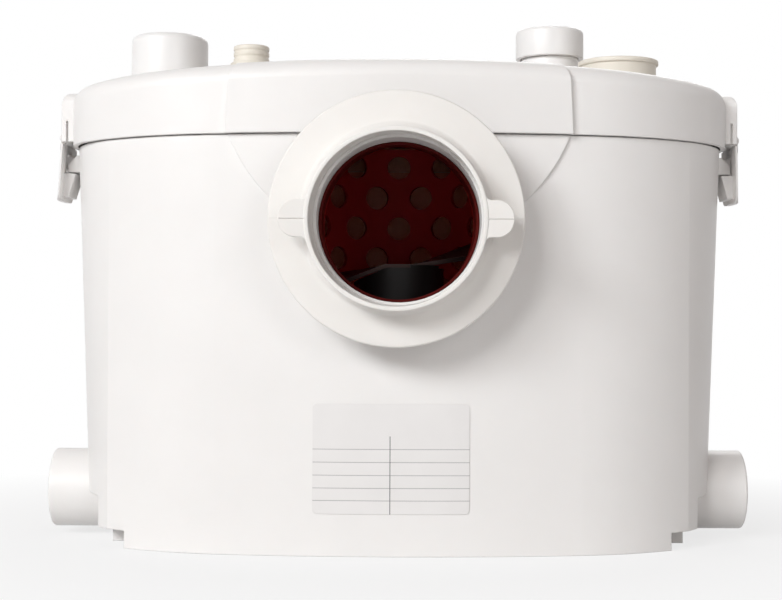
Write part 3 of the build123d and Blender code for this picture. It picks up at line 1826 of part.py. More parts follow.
with BuildPart() as gland_nut:
    gland_nut_floor = gland_flange_floor - gland_nut_height
    hexagon_post(gland_nut_radius, gland_nut_floor, gland_flange_floor, (gland_x, gland_y))
    upright(
        gland_shank_radius + snug_gap,
        gland_nut_floor - overrun,
        gland_flange_floor + overrun,
        (gland_x, gland_y),
        Mode.SUBTRACT,
    )
save(gland_nut.part, "gland_nut")


# Side inlet flaps, and the pins of all three non-return flaps
def side_flap(side):
    """A hinged flap that closes the inner end of one side inlet."""
    with BuildPart() as flap:
        inner_face = side * (port_seat - seat_gap - flap_thickness)
        outer_face = side * (port_seat - seat_gap)
        sideways(flap_radius, inner_face, outer_face, 0, port_height)
        xs = sorted((inner_face, outer_face))
        arm_floor = port_height + flap_radius - 2 * flap_knuckle_radius
        block((xs[0], -flap_arm_half, arm_floor), (xs[1], flap_arm_half, flap_pin_height))
        lengthways(
            flap_knuckle_radius, -flap_knuckle_half, flap_knuckle_half, side * flap_pin_x, flap_pin_height
        )
        lengthways(
            flap_pin_radius + running_gap,
            -flap_knuckle_half - overrun,
            flap_knuckle_half + overrun,
            side * flap_pin_x,
            flap_pin_height,
            Mode.SUBTRACT,
        )
    return flap.part


with BuildPart() as flap_left:
    add(side_flap(-1))
save(flap_left.part, "flap_left")

with BuildPart() as flap_right:
    add(side_flap(1))
save(flap_right.part, "flap_right")

with BuildPart() as flap_pins:
    for side in (-1, 1):
        lengthways(flap_pin_radius, -flap_pin_half, flap_pin_half, side * flap_pin_x, flap_pin_height)
    lengthways(
        valve_pin_radius, riser_y - valve_pin_half, riser_y + valve_pin_half, valve_pin_x, valve_pin_height
    )
save(flap_pins.part, "flap_pins")

# Level switch: pressure bell, diaphragm, plunger and switch
bell_place = (bell_x, bell_y)
with BuildPart() as pressure_bell:
    cup_floor = bell_top - bell_cup_height
    turned(
        [
            (bell_radius - bell_wall, bell_floor),
            (bell_radius, bell_floor),
            (bell_radius, cup_floor - bell_cup_slope),
            (bell_cup_radius, cup_floor),
            (bell_cup_radius, bell_top),
            (bell_cup_radius - bell_wall, bell_top),
            (bell_cup_radius - bell_wall, cup_floor + bell_wall),
            (bell_radius - bell_wall, cup_floor),
        ],
        bell_place,
    )
save(pressure_bell.part, "pressure_bell")

with BuildPart() as diaphragm:
    crown_top = bell_top + diaphragm_thickness + diaphragm_rise
    crown_foot = diaphragm_crown + diaphragm_rise / 2
    turned(
        [
            (0, crown_top - diaphragm_thickness),
            (diaphragm_crown - diaphragm_thickness, crown_top - diaphragm_thickness),
            (crown_foot - diaphragm_thickness, bell_top),
            (bell_cup_radius, bell_top),
            (bell_cup_radius, bell_top + diaphragm_thickness),
            (crown_foot, bell_top + diaphragm_thickness),
            (diaphragm_crown, crown_top),
            (0, crown_top),
        ],
        bell_place,
    )
save(diaphragm.part, "diaphragm")

with BuildPart() as plunger:
    upright(plunger_foot_radius, crown_top, crown_top + plunger_foot_height, bell_place)
    upright(plunger_radius, crown_top, plunger_top, bell_place)
save(plunger.part, "plunger")

switch_button_floor = plunger_top + switch_travel + seat_gap
switch_floor = switch_button_floor + switch_button_height
switch_top = switch_floor + switch_height
with BuildPart() as level_switch:
    block(
        (bell_x - switch_length / 2, bell_y - switch_depth / 2, switch_floor),
        (bell_x + switch_length / 2, bell_y + switch_depth / 2, switch_top),
    )
    upright(switch_button_radius, switch_button_floor, switch_floor, bell_place)
save(level_switch.part, "level_switch")

# Control box with its cover and screws
box_cover_floor = box_top - box_cover_thickness
box_middle = ((box_low_x + box_high_x) / 2, (box_low_y + box_high_y) / 2)
box_width = box_high_x - box_low_x
box_depth = box_high_y - box_low_y
box_screw_places = [
    (x, y)
    for x in (box_low_x + box_screw_inset, box_high_x - box_screw_inset)
    for y in (box_low_y + box_screw_inset, box_high_y - box_screw_inset)
]
with BuildPart() as control_box:
    with BuildSketch(Plane.XY.offset(box_floor)) as box_outline:
        with Locations(box_middle):
            RectangleRounded(box_width, box_depth, box_corner)
    extrude(box_outline.sketch, amount=box_cover_floor - box_floor)
    with BuildSketch(Plane.XY.offset(box_floor + box_wall)) as box_room:
        with Locations(box_middle):
            RectangleRounded(
                box_width - 2 * box_wall, box_depth - 2 * box_wall, box_corner - box_wall
            )
    extrude(box_room.sketch, amount=box_top - box_floor, mode=Mode.SUBTRACT)
    for place in box_screw_places:
        upright(box_post_radius, box_floor, box_cover_floor, place)
        upright(
            box_screw_radius + running_gap,
            box_cover_floor - box_screw_length,
            box_top,
            place,
            Mode.SUBTRACT,
        )
    # Opening over the diaphragm, guide for the plunger and rest for the switch
    upright(crown_foot + overrun, box_floor - overrun, box_floor + 2 * box_wall, bell_place, Mode.SUBTRACT)
    back_face = box_high_y - box_wall / 2
    block(
        (bell_x - plunger_guide_half, bell_y - plunger_guide_half, plunger_guide_floor),
        (bell_x + plunger_guide_half, back_face, plunger_guide_top),
    )
    upright(
        plunger_radius + seat_gap, plunger_guide_floor, plunger_guide_top, bell_place, Mode.SUBTRACT
    )
    block(
        (bell_x - plunger_guide_half, bell_y + switch_depth / 2, switch_floor),
        (bell_x + plunger_guide_half, back_face, switch_top),
    )
    # Hole for the motor lead
    upright(
        lead_radius + snug_gap,
        box_floor - overrun,
        box_floor + box_wall + overrun,
        (lead_box_x, lead_box_y),
        Mode.SUBTRACT,
    )
save(control_box.part, "control_box")

with BuildPart() as box_cover:
    with BuildSketch(Plane.XY.offset(box_cover_floor)) as cover_outline:
        with Locations(box_middle):
            RectangleRounded(box_width, box_depth, box_corner)
    extrude(cover_outline.sketch, amount=box_cover_thickness)
    for place in box_screw_places:
        upright(
            box_screw_radius + running_gap, box_cover_floor - overrun, box_top + overrun, place,
            Mode.SUBTRACT,
        )
save(box_cover.part, "box_cover")

with BuildPart() as box_screws:
    for place in box_screw_places:
        upright(box_screw_radius, box_top - box_screw_length, box_top, place)
        upright(box_screw_head_radius, box_top, box_top + box_screw_head_height, place)
save(box_screws.part, "box_screws")

# Terminal block and capacitor
box_inner_floor = box_floor + box_wall
with BuildPart() as terminal_block:
    terminal_x = box_high_x - box_wall - 2 * box_post_radius - box_corner - terminal_length
    terminal_y = box_low_y + box_wall + box_corner
    terminal_top = box_inner_floor + terminal_height
    block(
        (terminal_x, terminal_y, box_inner_floor),
        (terminal_x + terminal_length, terminal_y + terminal_depth, terminal_top),
    )
    for way in range(terminal_ways):
        way_x = terminal_x + terminal_length * (way + 0.5) / terminal_ways
        upright(
            terminal_screw_radius,
            terminal_top - terminal_screw_depth,
            terminal_top + overrun,
            (way_x, terminal_y + terminal_depth / 2),
            Mode.SUBTRACT,
        )
save(terminal_block.part, "terminal_block")

with BuildPart() as capacitor:
    capacitor_place = (box_low_x + capacitor_inset, box_low_y + capacitor_inset)
    upright(capacitor_radius, box_inner_floor, box_inner_floor + capacitor_height, capacitor_place)
save(capacitor.part, "capacitor")

# Motor lead from the motor cover to the control box
with BuildPart() as motor_lead:
    lead_start = (lead_x, lead_y, motor_cover_top - lead_socket_depth)
    with BuildLine() as lead_path:
        FilletPolyline(
            lead_start,
            (lead_x, lead_y, lead_run_height),
            (lead_box_x, lead_box_y, lead_run_height),
            (lead_box_x, lead_box_y, lead_top),
            radius=lead_bend,
        )
    with BuildSketch(Plane(lead_start, z_dir=(0, 0, 1))) as lead_section:
        Circle(lead_radius)
    sweep(lead_section.sketch, path=lead_path.line)
save(motor_lead.part, "motor_lead")
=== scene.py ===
import bpy, bmesh, math
from mathutils import Matrix, Vector


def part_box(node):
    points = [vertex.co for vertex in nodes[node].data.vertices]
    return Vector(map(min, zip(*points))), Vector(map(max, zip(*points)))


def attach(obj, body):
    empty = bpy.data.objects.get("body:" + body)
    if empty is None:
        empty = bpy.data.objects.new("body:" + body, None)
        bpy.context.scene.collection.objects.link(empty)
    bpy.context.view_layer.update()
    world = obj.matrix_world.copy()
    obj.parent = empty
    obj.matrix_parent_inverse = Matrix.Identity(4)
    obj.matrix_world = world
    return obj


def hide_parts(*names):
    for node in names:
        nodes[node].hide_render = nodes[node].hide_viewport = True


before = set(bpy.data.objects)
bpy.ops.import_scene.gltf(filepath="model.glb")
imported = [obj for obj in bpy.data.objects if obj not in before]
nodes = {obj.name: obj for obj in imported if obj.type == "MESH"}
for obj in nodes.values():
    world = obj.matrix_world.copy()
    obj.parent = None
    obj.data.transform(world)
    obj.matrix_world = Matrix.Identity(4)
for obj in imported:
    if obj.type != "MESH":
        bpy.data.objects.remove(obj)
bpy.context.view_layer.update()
MM = 0.001
SAME_PLACE = 1e-7


def ends(node):
    """The lowest and the highest point of a node, in millimetres."""
    low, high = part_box(node)
    return round(low.z / MM, 3), round(high.z / MM, 3)


# ---------------------------------------------------------------- materials
class Tree:
    """A short way to add nodes and links to one material."""

    def __init__(self, name):
        self.material = bpy.data.materials.new(name)
        self.material.use_nodes = True
        self.nodes = self.material.node_tree.nodes
        self.links = self.material.node_tree.links
        self.shader = next(n for n in self.nodes if n.type == "BSDF_PRINCIPLED")
        self.place = self.nodes.new("ShaderNodeTexCoord").outputs["Object"]

    def add(self, kind, links=(), **values):
        node = self.nodes.new(kind)
        for key, value in values.items():
            setattr(node, key, value)
        for name, source in dict(links).items():
            if hasattr(source, "is_output"):
                self.links.new(source, node.inputs[name])
            else:
                node.inputs[name].default_value = source
        return node

    def math(self, operation, *sources):
        return self.add("ShaderNodeMath", dict(enumerate(sources)), operation=operation).outputs[0]

    def axes(self, source=None):
        split = self.add("ShaderNodeSeparateXYZ", {"Vector": source or self.place})
        return split.outputs[0], split.outputs[1], split.outputs[2]

    def noise(self, size, detail=3.0, source=None, rough=0.5):
        """Noise whose features are about `size` metres across."""
        links = {"Vector": source or self.place, "Scale": 1.0 / size, "Detail": detail, "Roughness": rough}
        return self.add("ShaderNodeTexNoise", links).outputs["Fac"]

    def ramp(self, factor, low, high):
        """Two colours mixed by a factor that is stretched about its middle."""
        node = self.add("ShaderNodeValToRGB", {"Fac": factor})
        node.color_ramp.elements[0].position, node.color_ramp.elements[1].position = 0.3, 0.7
        node.color_ramp.elements[0].color, node.color_ramp.elements[1].color = (*low, 1), (*high, 1)
        return node.outputs["Color"]

    def span(self, factor, low, high, start=0.25, end=0.75):
        links = {"Value": factor, "From Min": start, "From Max": end, "To Min": low, "To Max": high}
        return self.add("ShaderNodeMapRange", links).outputs["Result"]

    def mix(self, factor, a, b):
        node = self.nodes.new("ShaderNodeMix")
        node.data_type = "RGBA"
        for name, source in (("Factor_Float", factor), ("A_Color", a), ("B_Color", b)):
            place = next(s for s in node.inputs if s.identifier == name)
            if hasattr(source, "is_output"):
                self.links.new(source, place)
            else:
                place.default_value = (*source, 1) if name != "Factor_Float" else source
        return next(s for s in node.outputs if s.identifier == "Result_Color")

    def normal(self, height, strength, distance, rounding):
        """Bump over edges that look rounded."""
        links = {"Height": height, "Strength": strength, "Distance": distance}
        if rounding:
            links["Normal"] = self.add("ShaderNodeBevel", {"Radius": rounding}, samples=6).outputs[0]
        return self.add("ShaderNodeBump", links).outputs[0]

    def wire(self, name, source):
        self.links.new(source, self.shader.inputs[name])


def tint(colour, factor):
    return tuple(min(1.0, c * factor) for c in colour)


def moulded(name, colour, rough, grain=0.0005, bump=0.12, patch=0.04, vary=0.025, rounding=0.0005,
            specular=0.5, sheen=0.0, coat=0.0, subsurface=0.0):
    """Moulded plastic or rubber: soft colour patches, fine skin and rounded edges."""
    t = Tree(name)
    t.wire("Base Color", t.ramp(t.noise(patch), tint(colour, 1 - vary), tint(colour, 1 + vary)))
    t.wire("Roughness", t.span(t.noise(0.012, 5.0), rough - 0.05, rough + 0.06))
    skin = t.math("ADD", t.noise(grain, 2.0), t.math("MULTIPLY", t.noise(0.018, 1.0), 0.9))
    t.wire("Normal", t.normal(skin, bump, 0.00006, rounding))
    t.shader.inputs["Specular IOR Level"].default_value = specular
    t.shader.inputs["Sheen Weight"].default_value = sheen
    t.shader.inputs["Coat Weight"].default_value = coat
    t.shader.inputs["Subsurface Weight"].default_value = subsurface
    t.shader.inputs["Subsurface Radius"].default_value = (0.0024, 0.002, 0.0018)
    t.shader.inputs["Subsurface Scale"].default_value = 1.0
    return t


def metal(name, colour, rough, along=(1, 1, 12), grain=0.0004, bump=0.2, rounding=0.0003, metallic=1.0):
    """Metal with marks drawn out along one direction."""
    t = Tree(name)
    stretched = t.add("ShaderNodeMapping", {"Vector": t.place, "Scale": along}).outputs[0]
    marks = t.noise(grain, 3.0, stretched)
    t.wire("Base Color", t.ramp(t.noise(0.015, 4.0), tint(colour, 0.93), tint(colour, 1.05)))
    t.wire("Roughness", t.span(marks, rough - 0.08, rough + 0.1))
    t.wire("Normal", t.normal(marks, bump, 0.00003, rounding))
    t.shader.inputs["Metallic"].default_value = metallic
    return t


def recoloured(t, factor, colour):
    """Mixes another colour into a finish where a factor says so."""
    first = t.shader.inputs["Base Color"].links[0].from_socket
    t.wire("Base Color", t.mix(factor, first, colour))


white = (0.86, 0.845, 0.83)
shell = moulded("shell_white", white, 0.40, vary=0.012, rounding=0.0009, subsurface=0.08)
cap_white = moulded("cap_white", (0.87, 0.86, 0.85), 0.34, vary=0.012, rounding=0.0006, subsurface=0.08)
rubber_white = moulded("connector_rubber", (0.85, 0.83, 0.80), 0.52, grain=0.0008, bump=0.16, vary=0.02,
                       rounding=0.0, specular=0.4, sheen=0.12, subsurface=0.12)
ivory = moulded("ivory_rubber", (0.79, 0.745, 0.66), 0.46, grain=0.0007, vary=0.02, subsurface=0.1)
basket_red = moulded("basket_red", (0.36, 0.017, 0.016), 0.5, grain=0.0006, vary=0.08, specular=0.06)
black_plastic = moulded("black_plastic", (0.016, 0.016, 0.017), 0.32, vary=0.1)
hub_black = moulded("hub_black", (0.010, 0.009, 0.009), 0.45, vary=0.1, specular=0.16)
black_rubber = moulded("black_rubber", (0.02, 0.02, 0.02), 0.62, grain=0.0006, bump=0.3, vary=0.12)
grey_plastic = moulded("grey_plastic", (0.30, 0.31, 0.32), 0.42, vary=0.04)
capacitor_shell = moulded("capacitor_shell", (0.55, 0.55, 0.57), 0.35, vary=0.03)
steel = metal("brushed_steel", (0.58, 0.57, 0.56), 0.28)
# Painted reflection: the blade's near-black, reddish colour stands in for the dark red basket it reflects
blade_steel = metal("blade_steel", (0.035, 0.02, 0.018), 0.36, along=(14, 1, 1), bump=0.3, metallic=0.8)
motor_paint = metal("cast_aluminium", (0.50, 0.51, 0.53), 0.5, along=(1, 1, 1), grain=0.0012, bump=0.8,
                    rounding=0.0008)

# Painted shade on the basket's collar nearest the mouth, and painted red bounce light on the inside of the tank
# behind the basket
collar_end, behind_basket, faces_front = -0.066, 0.05, -0.2
# Painted shade: the basket in front of collar_end is coloured near-black red
recoloured(basket_red, basket_red.math("LESS_THAN", basket_red.axes()[1], collar_end), (0.08, 0.006, 0.005))
# Painted light: forward-facing inner faces of the tank behind the basket are tinted warm red, standing in for
# light bounced off the basket
shell_facing = shell.axes(shell.add("ShaderNodeNewGeometry").outputs["Normal"])[1]
painted_bounce_inside = shell.math("MULTIPLY", shell.math("LESS_THAN", shell_facing, faces_front), shell.math(
    "GREATER_THAN", shell.axes()[1], behind_basket))
recoloured(shell, painted_bounce_inside, (0.84, 0.42, 0.30))

charcoal = Tree("filter_foam")
cells = charcoal.add("ShaderNodeTexVoronoi", {"Vector": charcoal.place, "Scale": 900.0}).outputs["Distance"]
charcoal.wire("Base Color", charcoal.ramp(cells, (0.008, 0.008, 0.008), (0.05, 0.05, 0.05)))
charcoal.wire("Normal", charcoal.normal(cells, 1.0, 0.0006, 0.0))
charcoal.wire("Roughness", charcoal.span(cells, 0.8, 0.95))

# Steel sheets stacked in the motor's core
core = Tree("laminated_core")
_, _, core_z = core.axes()
sheet = 0.0005
sheets = core.math("PINGPONG", core_z, sheet)
sheet_shade = core.math("MULTIPLY", sheets, 1 / sheet)
core.wire("Base Color", core.ramp(sheet_shade, (0.10, 0.10, 0.11), (0.22, 0.23, 0.25)))
core.wire("Roughness", core.span(core.noise(0.004), 0.4, 0.6))
core.wire("Normal", core.normal(sheets, 0.9, 0.4, 0.0))
core.shader.inputs["Metallic"].default_value = 0.8

# Wire laid round the motor's axis
copper = Tree("enamelled_copper")
motor_y, wire_width, wire_rise = -0.026, 0.0004, 0.7
copper_x, copper_y, copper_z = copper.axes()
copper_across = copper.math("POWER", copper.math("SUBTRACT", copper_y, motor_y), 2.0)
copper_radius = copper.math("SQRT", copper.math("ADD", copper.math("POWER", copper_x, 2.0), copper_across))
copper_run = copper.math("ADD", copper_radius, copper.math("MULTIPLY", copper_z, wire_rise))
strand = copper.math("PINGPONG", copper_run, wire_width)
strand_shade = copper.math("MULTIPLY", strand, 1 / wire_width)
copper.wire("Base Color", copper.ramp(strand_shade, (0.22, 0.07, 0.025), (0.62, 0.26, 0.10)))
copper.wire("Roughness", copper.span(copper.noise(0.006), 0.25, 0.4))
copper.wire("Normal", copper.normal(strand, 0.8, 0.4, 0.0))
copper.shader.inputs["Metallic"].default_value = 0.85

# Hose band with stamped slots all round, drawn as near-black marks: painted shade standing in for the slot
# openings
band_colour, slot_shade_colour = (0.60, 0.60, 0.61), (0.03, 0.03, 0.03)
spigot_z, band_y_middle, slot_half, slots_round = 0.180, -0.103, 0.0024, 18.0
band = metal("band_steel", band_colour, 0.26, along=(1, 12, 1))
band_x, band_y, band_z = band.axes()
band_turn = band.math("ARCTAN2", band_x, band.math("SUBTRACT", band_z, spigot_z))
slots = band.math("PINGPONG", band.math("MULTIPLY", band_turn, slots_round), 1.0)
slot_offset = band.math("ABSOLUTE", band.math("SUBTRACT", band_y, band_y_middle))
slot_here = band.math(
    "MULTIPLY", band.math("GREATER_THAN", slots, 0.56), band.math("LESS_THAN", slot_offset, slot_half))
band.wire("Base Color", band.mix(slot_here, band_colour, slot_shade_colour))

# Label: a bare film with its ruled grid
label = Tree("ruled_label")
label_x, _, label_z = label.axes()
rule_heights = (0.0578, 0.0508, 0.0438, 0.0369, 0.0302)
rule_half, divider_half, divider_place, divider_top = 0.00016, 0.00022, -0.0043, 0.0648


def rule_at(axis, place, half):
    return label.math("LESS_THAN", label.math("ABSOLUTE", label.math("SUBTRACT", axis, place)), half)


rules = None
for height in rule_heights:
    line = rule_at(label_z, height, rule_half)
    rules = line if rules is None else label.math("MAXIMUM", rules, line)
divider = label.math(
    "MULTIPLY", rule_at(label_x, divider_place, divider_half), label.math("LESS_THAN", label_z, divider_top))
film = label.ramp(label.noise(0.03), (0.80, 0.785, 0.775), (0.83, 0.815, 0.805))
ruled = label.mix(rules, film, (0.36, 0.355, 0.36))
label.wire("Base Color", label.mix(divider, ruled, (0.10, 0.10, 0.105)))
label.wire("Roughness", label.span(label.noise(0.01), 0.28, 0.36))
label.wire("Normal", label.normal(label.noise(0.0006), 0.05, 0.00003, 0.0003))

finishes = {
    "shell": shell, "connector": rubber_white, "basket": basket_red, "black_plastic": black_plastic,
    "steel": steel, "black_rubber": black_rubber, "copper": copper, "core": core, "ivory": ivory,
    "label": label, "grey_plastic": grey_plastic, "charcoal": charcoal, "motor_paint": motor_paint,
    "capacitor_shell": capacitor_shell,
}


def dress(piece, finish):
    """Gives a piece one finish in every slot."""
    if not piece.material_slots:
        piece.data.materials.append(finish.material)
    for place in piece.material_slots:
        place.material = finish.material


own_finish = {
    "cutter_blade": blade_steel, "cutter_hub": hub_black, "connector_band": band, "vent_cap": cap_white,
    "cap_disc": black_rubber,
}
for name, piece in nodes.items():
    words = piece.material_slots[0].material.name if piece.material_slots else ""
    slot = next((s for s in sorted(finishes, key=len, reverse=True) if words.startswith(s)), "shell")
    dress(piece, own_finish.get(name, finishes[slot]))


# ---------------------------------------------------------------- mesh helpers
def as_piece(name, points, faces, finish, body, replaced=(), slot=None, sharp=38.0):
    """Makes a mesh object from points in millimetres, with soft faces and creases kept."""
    mesh = bpy.data.meshes.new(name)
    mesh.from_pydata([Vector(p) * MM for p in points], [], faces)
    work = bmesh.new()
    work.from_mesh(mesh)
    bmesh.ops.remove_doubles(work, verts=work.verts, dist=SAME_PLACE)
    bmesh.ops.recalc_face_normals(work, faces=work.faces)
    work.to_mesh(mesh)
    work.free()
    mesh.shade_smooth()
    mesh.set_sharp_from_angle(angle=math.radians(sharp))
    piece = bpy.data.objects.new(name, mesh)
    bpy.context.scene.collection.objects.link(piece)
    piece.data.materials.append(finish.material)
    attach(piece, body)
    if replaced:
        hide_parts(*replaced)
    return piece


def softened(outline, rounds, steps=5):
    """Rounds the corners of an outline. Each corner has its own radius; 0 leaves it sharp."""
    result, count = [], len(outline)
    for i, corner in enumerate(outline):
        here, radius = Vector(corner), rounds[i] if isinstance(rounds, (list, tuple)) else rounds
        if radius <= 0:
            result.append(tuple(here))
            continue
        before, after = Vector(outline[i - 1]) - here, Vector(outline[(i + 1) % count]) - here
        angle = before.angle(after)
        reach = min(radius / max(math.tan(angle / 2), 1e-3), before.length * 0.48, after.length * 0.48)
        start, end = here + before.normalized() * reach, here + after.normalized() * reach
        for k in range(steps + 1):
            u = k / steps
            result.append(tuple(start * (1 - u) ** 2 + here * 2 * u * (1 - u) + end * u ** 2))
    return result


def turned_mesh(profile, place, direction="Z", steps=160, wave=None):
    """Points and faces of a closed outline (radius, height) turned about an axis through place."""
    points, faces, count = [], [], len(profile)
    for i in range(steps):
        angle = 2 * math.pi * i / steps
        for radius, height in profile:
            r = radius if wave is None else wave(radius, height, angle)
            a, b = r * math.cos(angle), r * math.sin(angle)
            if direction == "Z":
                points.append((place[0] + a, place[1] + b, height))
            else:
                points.append((place[0] + a, -height, place[1] + b))
    for i in range(steps):
        for k in range(count):
            j, m = (i + 1) % steps, (k + 1) % count
            quad = (i * count + k, j * count + k, j * count + m, i * count + m)
            if profile[k][0] == 0 and profile[m][0] == 0:
                continue
            faces.append(quad)
    return points, faces


def plate(name, outline, back, front, edge, finish, body, slot, segments=4):
    """A plate from an outline in X and Z, between two places along Y, with its edges rounded."""
    count = len(outline)
    points = [(x, y, z) for y in (back, front) for x, z in outline]
    faces = [tuple(range(count)), tuple(reversed(range(count, 2 * count)))]
    faces += [(i, (i + 1) % count, count + (i + 1) % count, count + i) for i in range(count)]
    piece = as_piece(name, points, faces, finish, body, slot=slot, sharp=40)
    rounding = piece.modifiers.new("rounding", "BEVEL")
    rounding.width, rounding.segments, rounding.limit_method = edge * MM, segments, "ANGLE"
    rounding.angle_limit = math.radians(50)
    rounding.harden_normals = False
    return piece


def joined(*meshes):
    points, faces = [], []
    for more_points, more_faces in meshes:
        start = len(points)
        points += more_points
        faces += [tuple(start + i for i in face) for face in more_faces]
    return points, faces


# ---------------------------------------------------------------- camera
image_width = 782
focal_pixels, shift_pixels_x, shift_pixels_y = 1508.5, -5.05, -0.08
camera_place = Vector((-0.15, -902.25, 128.15)) * MM
camera_turn, camera_tilt, camera_roll = math.radians(0.088), math.radians(0.705), math.radians(-0.235)
sensor_width = 36.0


def set_camera():
    data = bpy.data.cameras.new("camera")
    data.sensor_width, data.sensor_fit = sensor_width, "HORIZONTAL"
    data.lens = focal_pixels / image_width * sensor_width
    data.shift_x, data.shift_y = shift_pixels_x / image_width, shift_pixels_y / image_width
    data.dof.use_dof = False
    data.clip_start, data.clip_end = 0.02, 50.0
    camera = bpy.data.objects.new("camera", data)
    bpy.context.scene.collection.objects.link(camera)
    camera.matrix_world = (
        Matrix.Translation(camera_place) @ Matrix.Rotation(camera_turn, 4, "Z")
        @ Matrix.Rotation(math.pi / 2 + camera_tilt, 4, "X") @ Matrix.Rotation(-camera_roll, 4, "Z"))
    bpy.context.scene.camera = camera


set_camera()

# ---------------------------------------------------------------- pan connector
collar_z, collar_bore, collar_radius, collar_back = 180.0, 44.7, 49.7, 98.0
spigot_radius, spigot_end = 46.6, 113.0
mouth_radius, mouth_front = 47.25, 138.0
disc_radius, disc_front, disc_back = 67.2, 119.4, 116.6
disc_root, root_radius, root_back = 120.8, 52.3, 110.2
bead_radius, bead_low, bead_high = 45.35, 121.9, 123.1

# Each point of the turned outline, as (radius, reach to the front), with the radius of its corner
mouth_points = [
    ((collar_bore, mouth_front), 0.7), ((mouth_radius, mouth_front), 1.1),
    ((47.9, 123.5), 3.0), ((50.5, disc_root), 2.6),
    ((disc_radius, disc_front), 1.3), ((disc_radius, disc_back), 1.2),
    ((65.5, 116.0), 0.6), ((53.5, 117.2), 2.0),
    ((root_radius, root_back), 0.8), ((collar_radius, root_back), 0.4),
    ((collar_radius, collar_back), 0.5), ((spigot_radius, collar_back), 0.5),
    ((spigot_radius, spigot_end), 0.8), ((44.75, 115.0), 0.6),
    ((44.75, 121.2), 0.2), ((bead_radius, bead_low), 0.2),
    ((bead_radius, bead_high), 0.2), ((44.75, 123.8), 0.2),
]
mouth_profile = softened([point for point, _ in mouth_points], [corner for _, corner in mouth_points], 6)
connector_mesh = turned_mesh(mouth_profile, (0, collar_z), "Y", 224)

# How far the mouth sits to the left and down, at the disc and at the front
left_at_disc, left_at_front, up_at_disc, down_at_front = 1.38, 1.58, 0.13, 1.07


def settled(points):
    """The soft mouth sits a little to the left of its spigot, and droops towards its front."""
    placed = []
    for x, y, z in points:
        radius, reach = math.hypot(x, z - collar_z), -y
        front = min(1.0, max(0.0, (reach - 120.0) / 18.0))
        hold = 1.0
        if radius < 46.4:
            front, hold = 1.0, min(1.0, max(0.0, (reach - spigot_end) / 25.0))
        elif radius < 50.0 and reach < spigot_end:
            hold = 0.0
        left = left_at_disc + (left_at_front - left_at_disc) * front
        up = up_at_disc - (up_at_disc + down_at_front) * front
        placed.append((x - hold * left, y, z + hold * up))
    return placed


tab_reach, tab_half, tab_corner, tab_flare, tab_ring, tab_inner = 60.2, 9.5, 8.8, 3.0, 47.3, 46.6
tab_back, tab_front, tab_edge, inner_turn = -133.6, -137.5, 0.8, 14


def pull_tab(name, side):
    """A pull tab with rounded corners whose root flares into the ring."""
    centre_z = tab_half + tab_flare
    centre_x = math.sqrt((tab_ring + tab_flare) ** 2 - centre_z ** 2)
    start = math.atan2(-centre_z, -centre_x)
    arc = [start + (-math.pi / 2 - start) * k / 6 for k in range(7)]
    upper = [(centre_x + tab_flare * math.cos(a), centre_z + tab_flare * math.sin(a)) for a in arc]
    for k in range(13):
        angle = math.pi / 2 - math.pi / 2 * k / 12
        upper.append((tab_reach - tab_corner + tab_corner * math.cos(angle),
                      tab_half - tab_corner + tab_corner * math.sin(angle)))
    turns = [math.radians(-inner_turn + 2 * inner_turn * k / 8) for k in range(9)]
    inside = [(tab_inner * math.cos(t), tab_inner * math.sin(t)) for t in turns]
    outline = inside + upper + [(x, -z) for x, z in reversed(upper)]
    placed = [(x, z) for x, _, z in settled([(side * x, -137.0, collar_z + z) for x, z in outline])]
    return plate(name, placed, tab_back, tab_front, tab_edge, rubber_white, "casing", "connector")


ridge_half, ridge_rise, ridge_sink = 0.26, 0.16, -0.15


def ridge_mesh(side):
    """The raised parting line across the tab and the flange."""
    path = [(45.5, 137.9), (59.6, 137.9)]
    flank = [p for p in mouth_profile if p[0] > 49.2 and p[1] > 118.8]
    flank.sort(key=lambda p: -p[1])
    points, faces = [], []
    for run in (path, flank):
        base = len(points)
        for r, d in run:
            for dz, out in ((-ridge_half, ridge_sink), (0.0, ridge_rise), (ridge_half, ridge_sink)):
                points.append((side * (r + 0.4 * out), -(d + out), collar_z + dz))
        for i in range(len(run) - 1):
            for k in range(2):
                a = base + 3 * i + k
                faces.append((a, a + 3, a + 4, a + 1))
    return points, faces


boot_points, boot_faces = joined(connector_mesh, ridge_mesh(-1), ridge_mesh(1))
as_piece("boot", settled(boot_points), boot_faces, rubber_white, "casing", ["pan_connector"], "connector", 32)
pull_tab("pull_tab_left", -1)
pull_tab("pull_tab_right", 1)

# ---------------------------------------------------------------- discharge neck with its thread, and the cap
discharge_place = (90.9, 11.0)
neck_radius, neck_bore, neck_foot_radius, neck_foot_height = 17.2, 13.0, 21.0, 3.0
thread_pitch, thread_depth, thread_low, thread_end, thread_fade = 3.5, 0.9, 283.0, 1.2, 1.5
wall_step, wall_rows = 0.3, 183
neck_foot, neck_top = ends("discharge_neck")


def threaded(crest, depth, low, high, pitch):
    """A radius that follows one helical thread between two heights."""
    def wave(radius, height, angle):
        if abs(radius - crest) > 0.01 or not low < height < high:
            return radius
        phase = (height / pitch - angle / (2 * math.pi)) % 1.0
        tooth = min(1.0, max(0.0, 1.7 - 4.2 * abs(phase - 0.5)))
        fade = min(1.0, (height - low) / thread_fade, (high - height) / thread_fade)
        return radius - depth * fade * (1 - tooth)
    return wave


wall_foot = neck_foot + neck_foot_height
neck_profile = [(neck_bore, neck_foot), (neck_foot_radius, neck_foot), (neck_foot_radius, wall_foot)]
neck_profile += [(neck_radius, wall_foot + wall_step * (k + 1)) for k in range(wall_rows)]
neck_profile += [(neck_radius - 0.5, neck_top), (neck_bore + 0.5, neck_top), (neck_bore, neck_top - 0.5)]
thread = threaded(neck_radius, thread_depth, thread_low, neck_top - thread_end, thread_pitch)
as_piece("threaded_neck", *turned_mesh(neck_profile, discharge_place, "Z", 128, thread), cap_white, "casing",
         ["discharge_neck"], "shell")

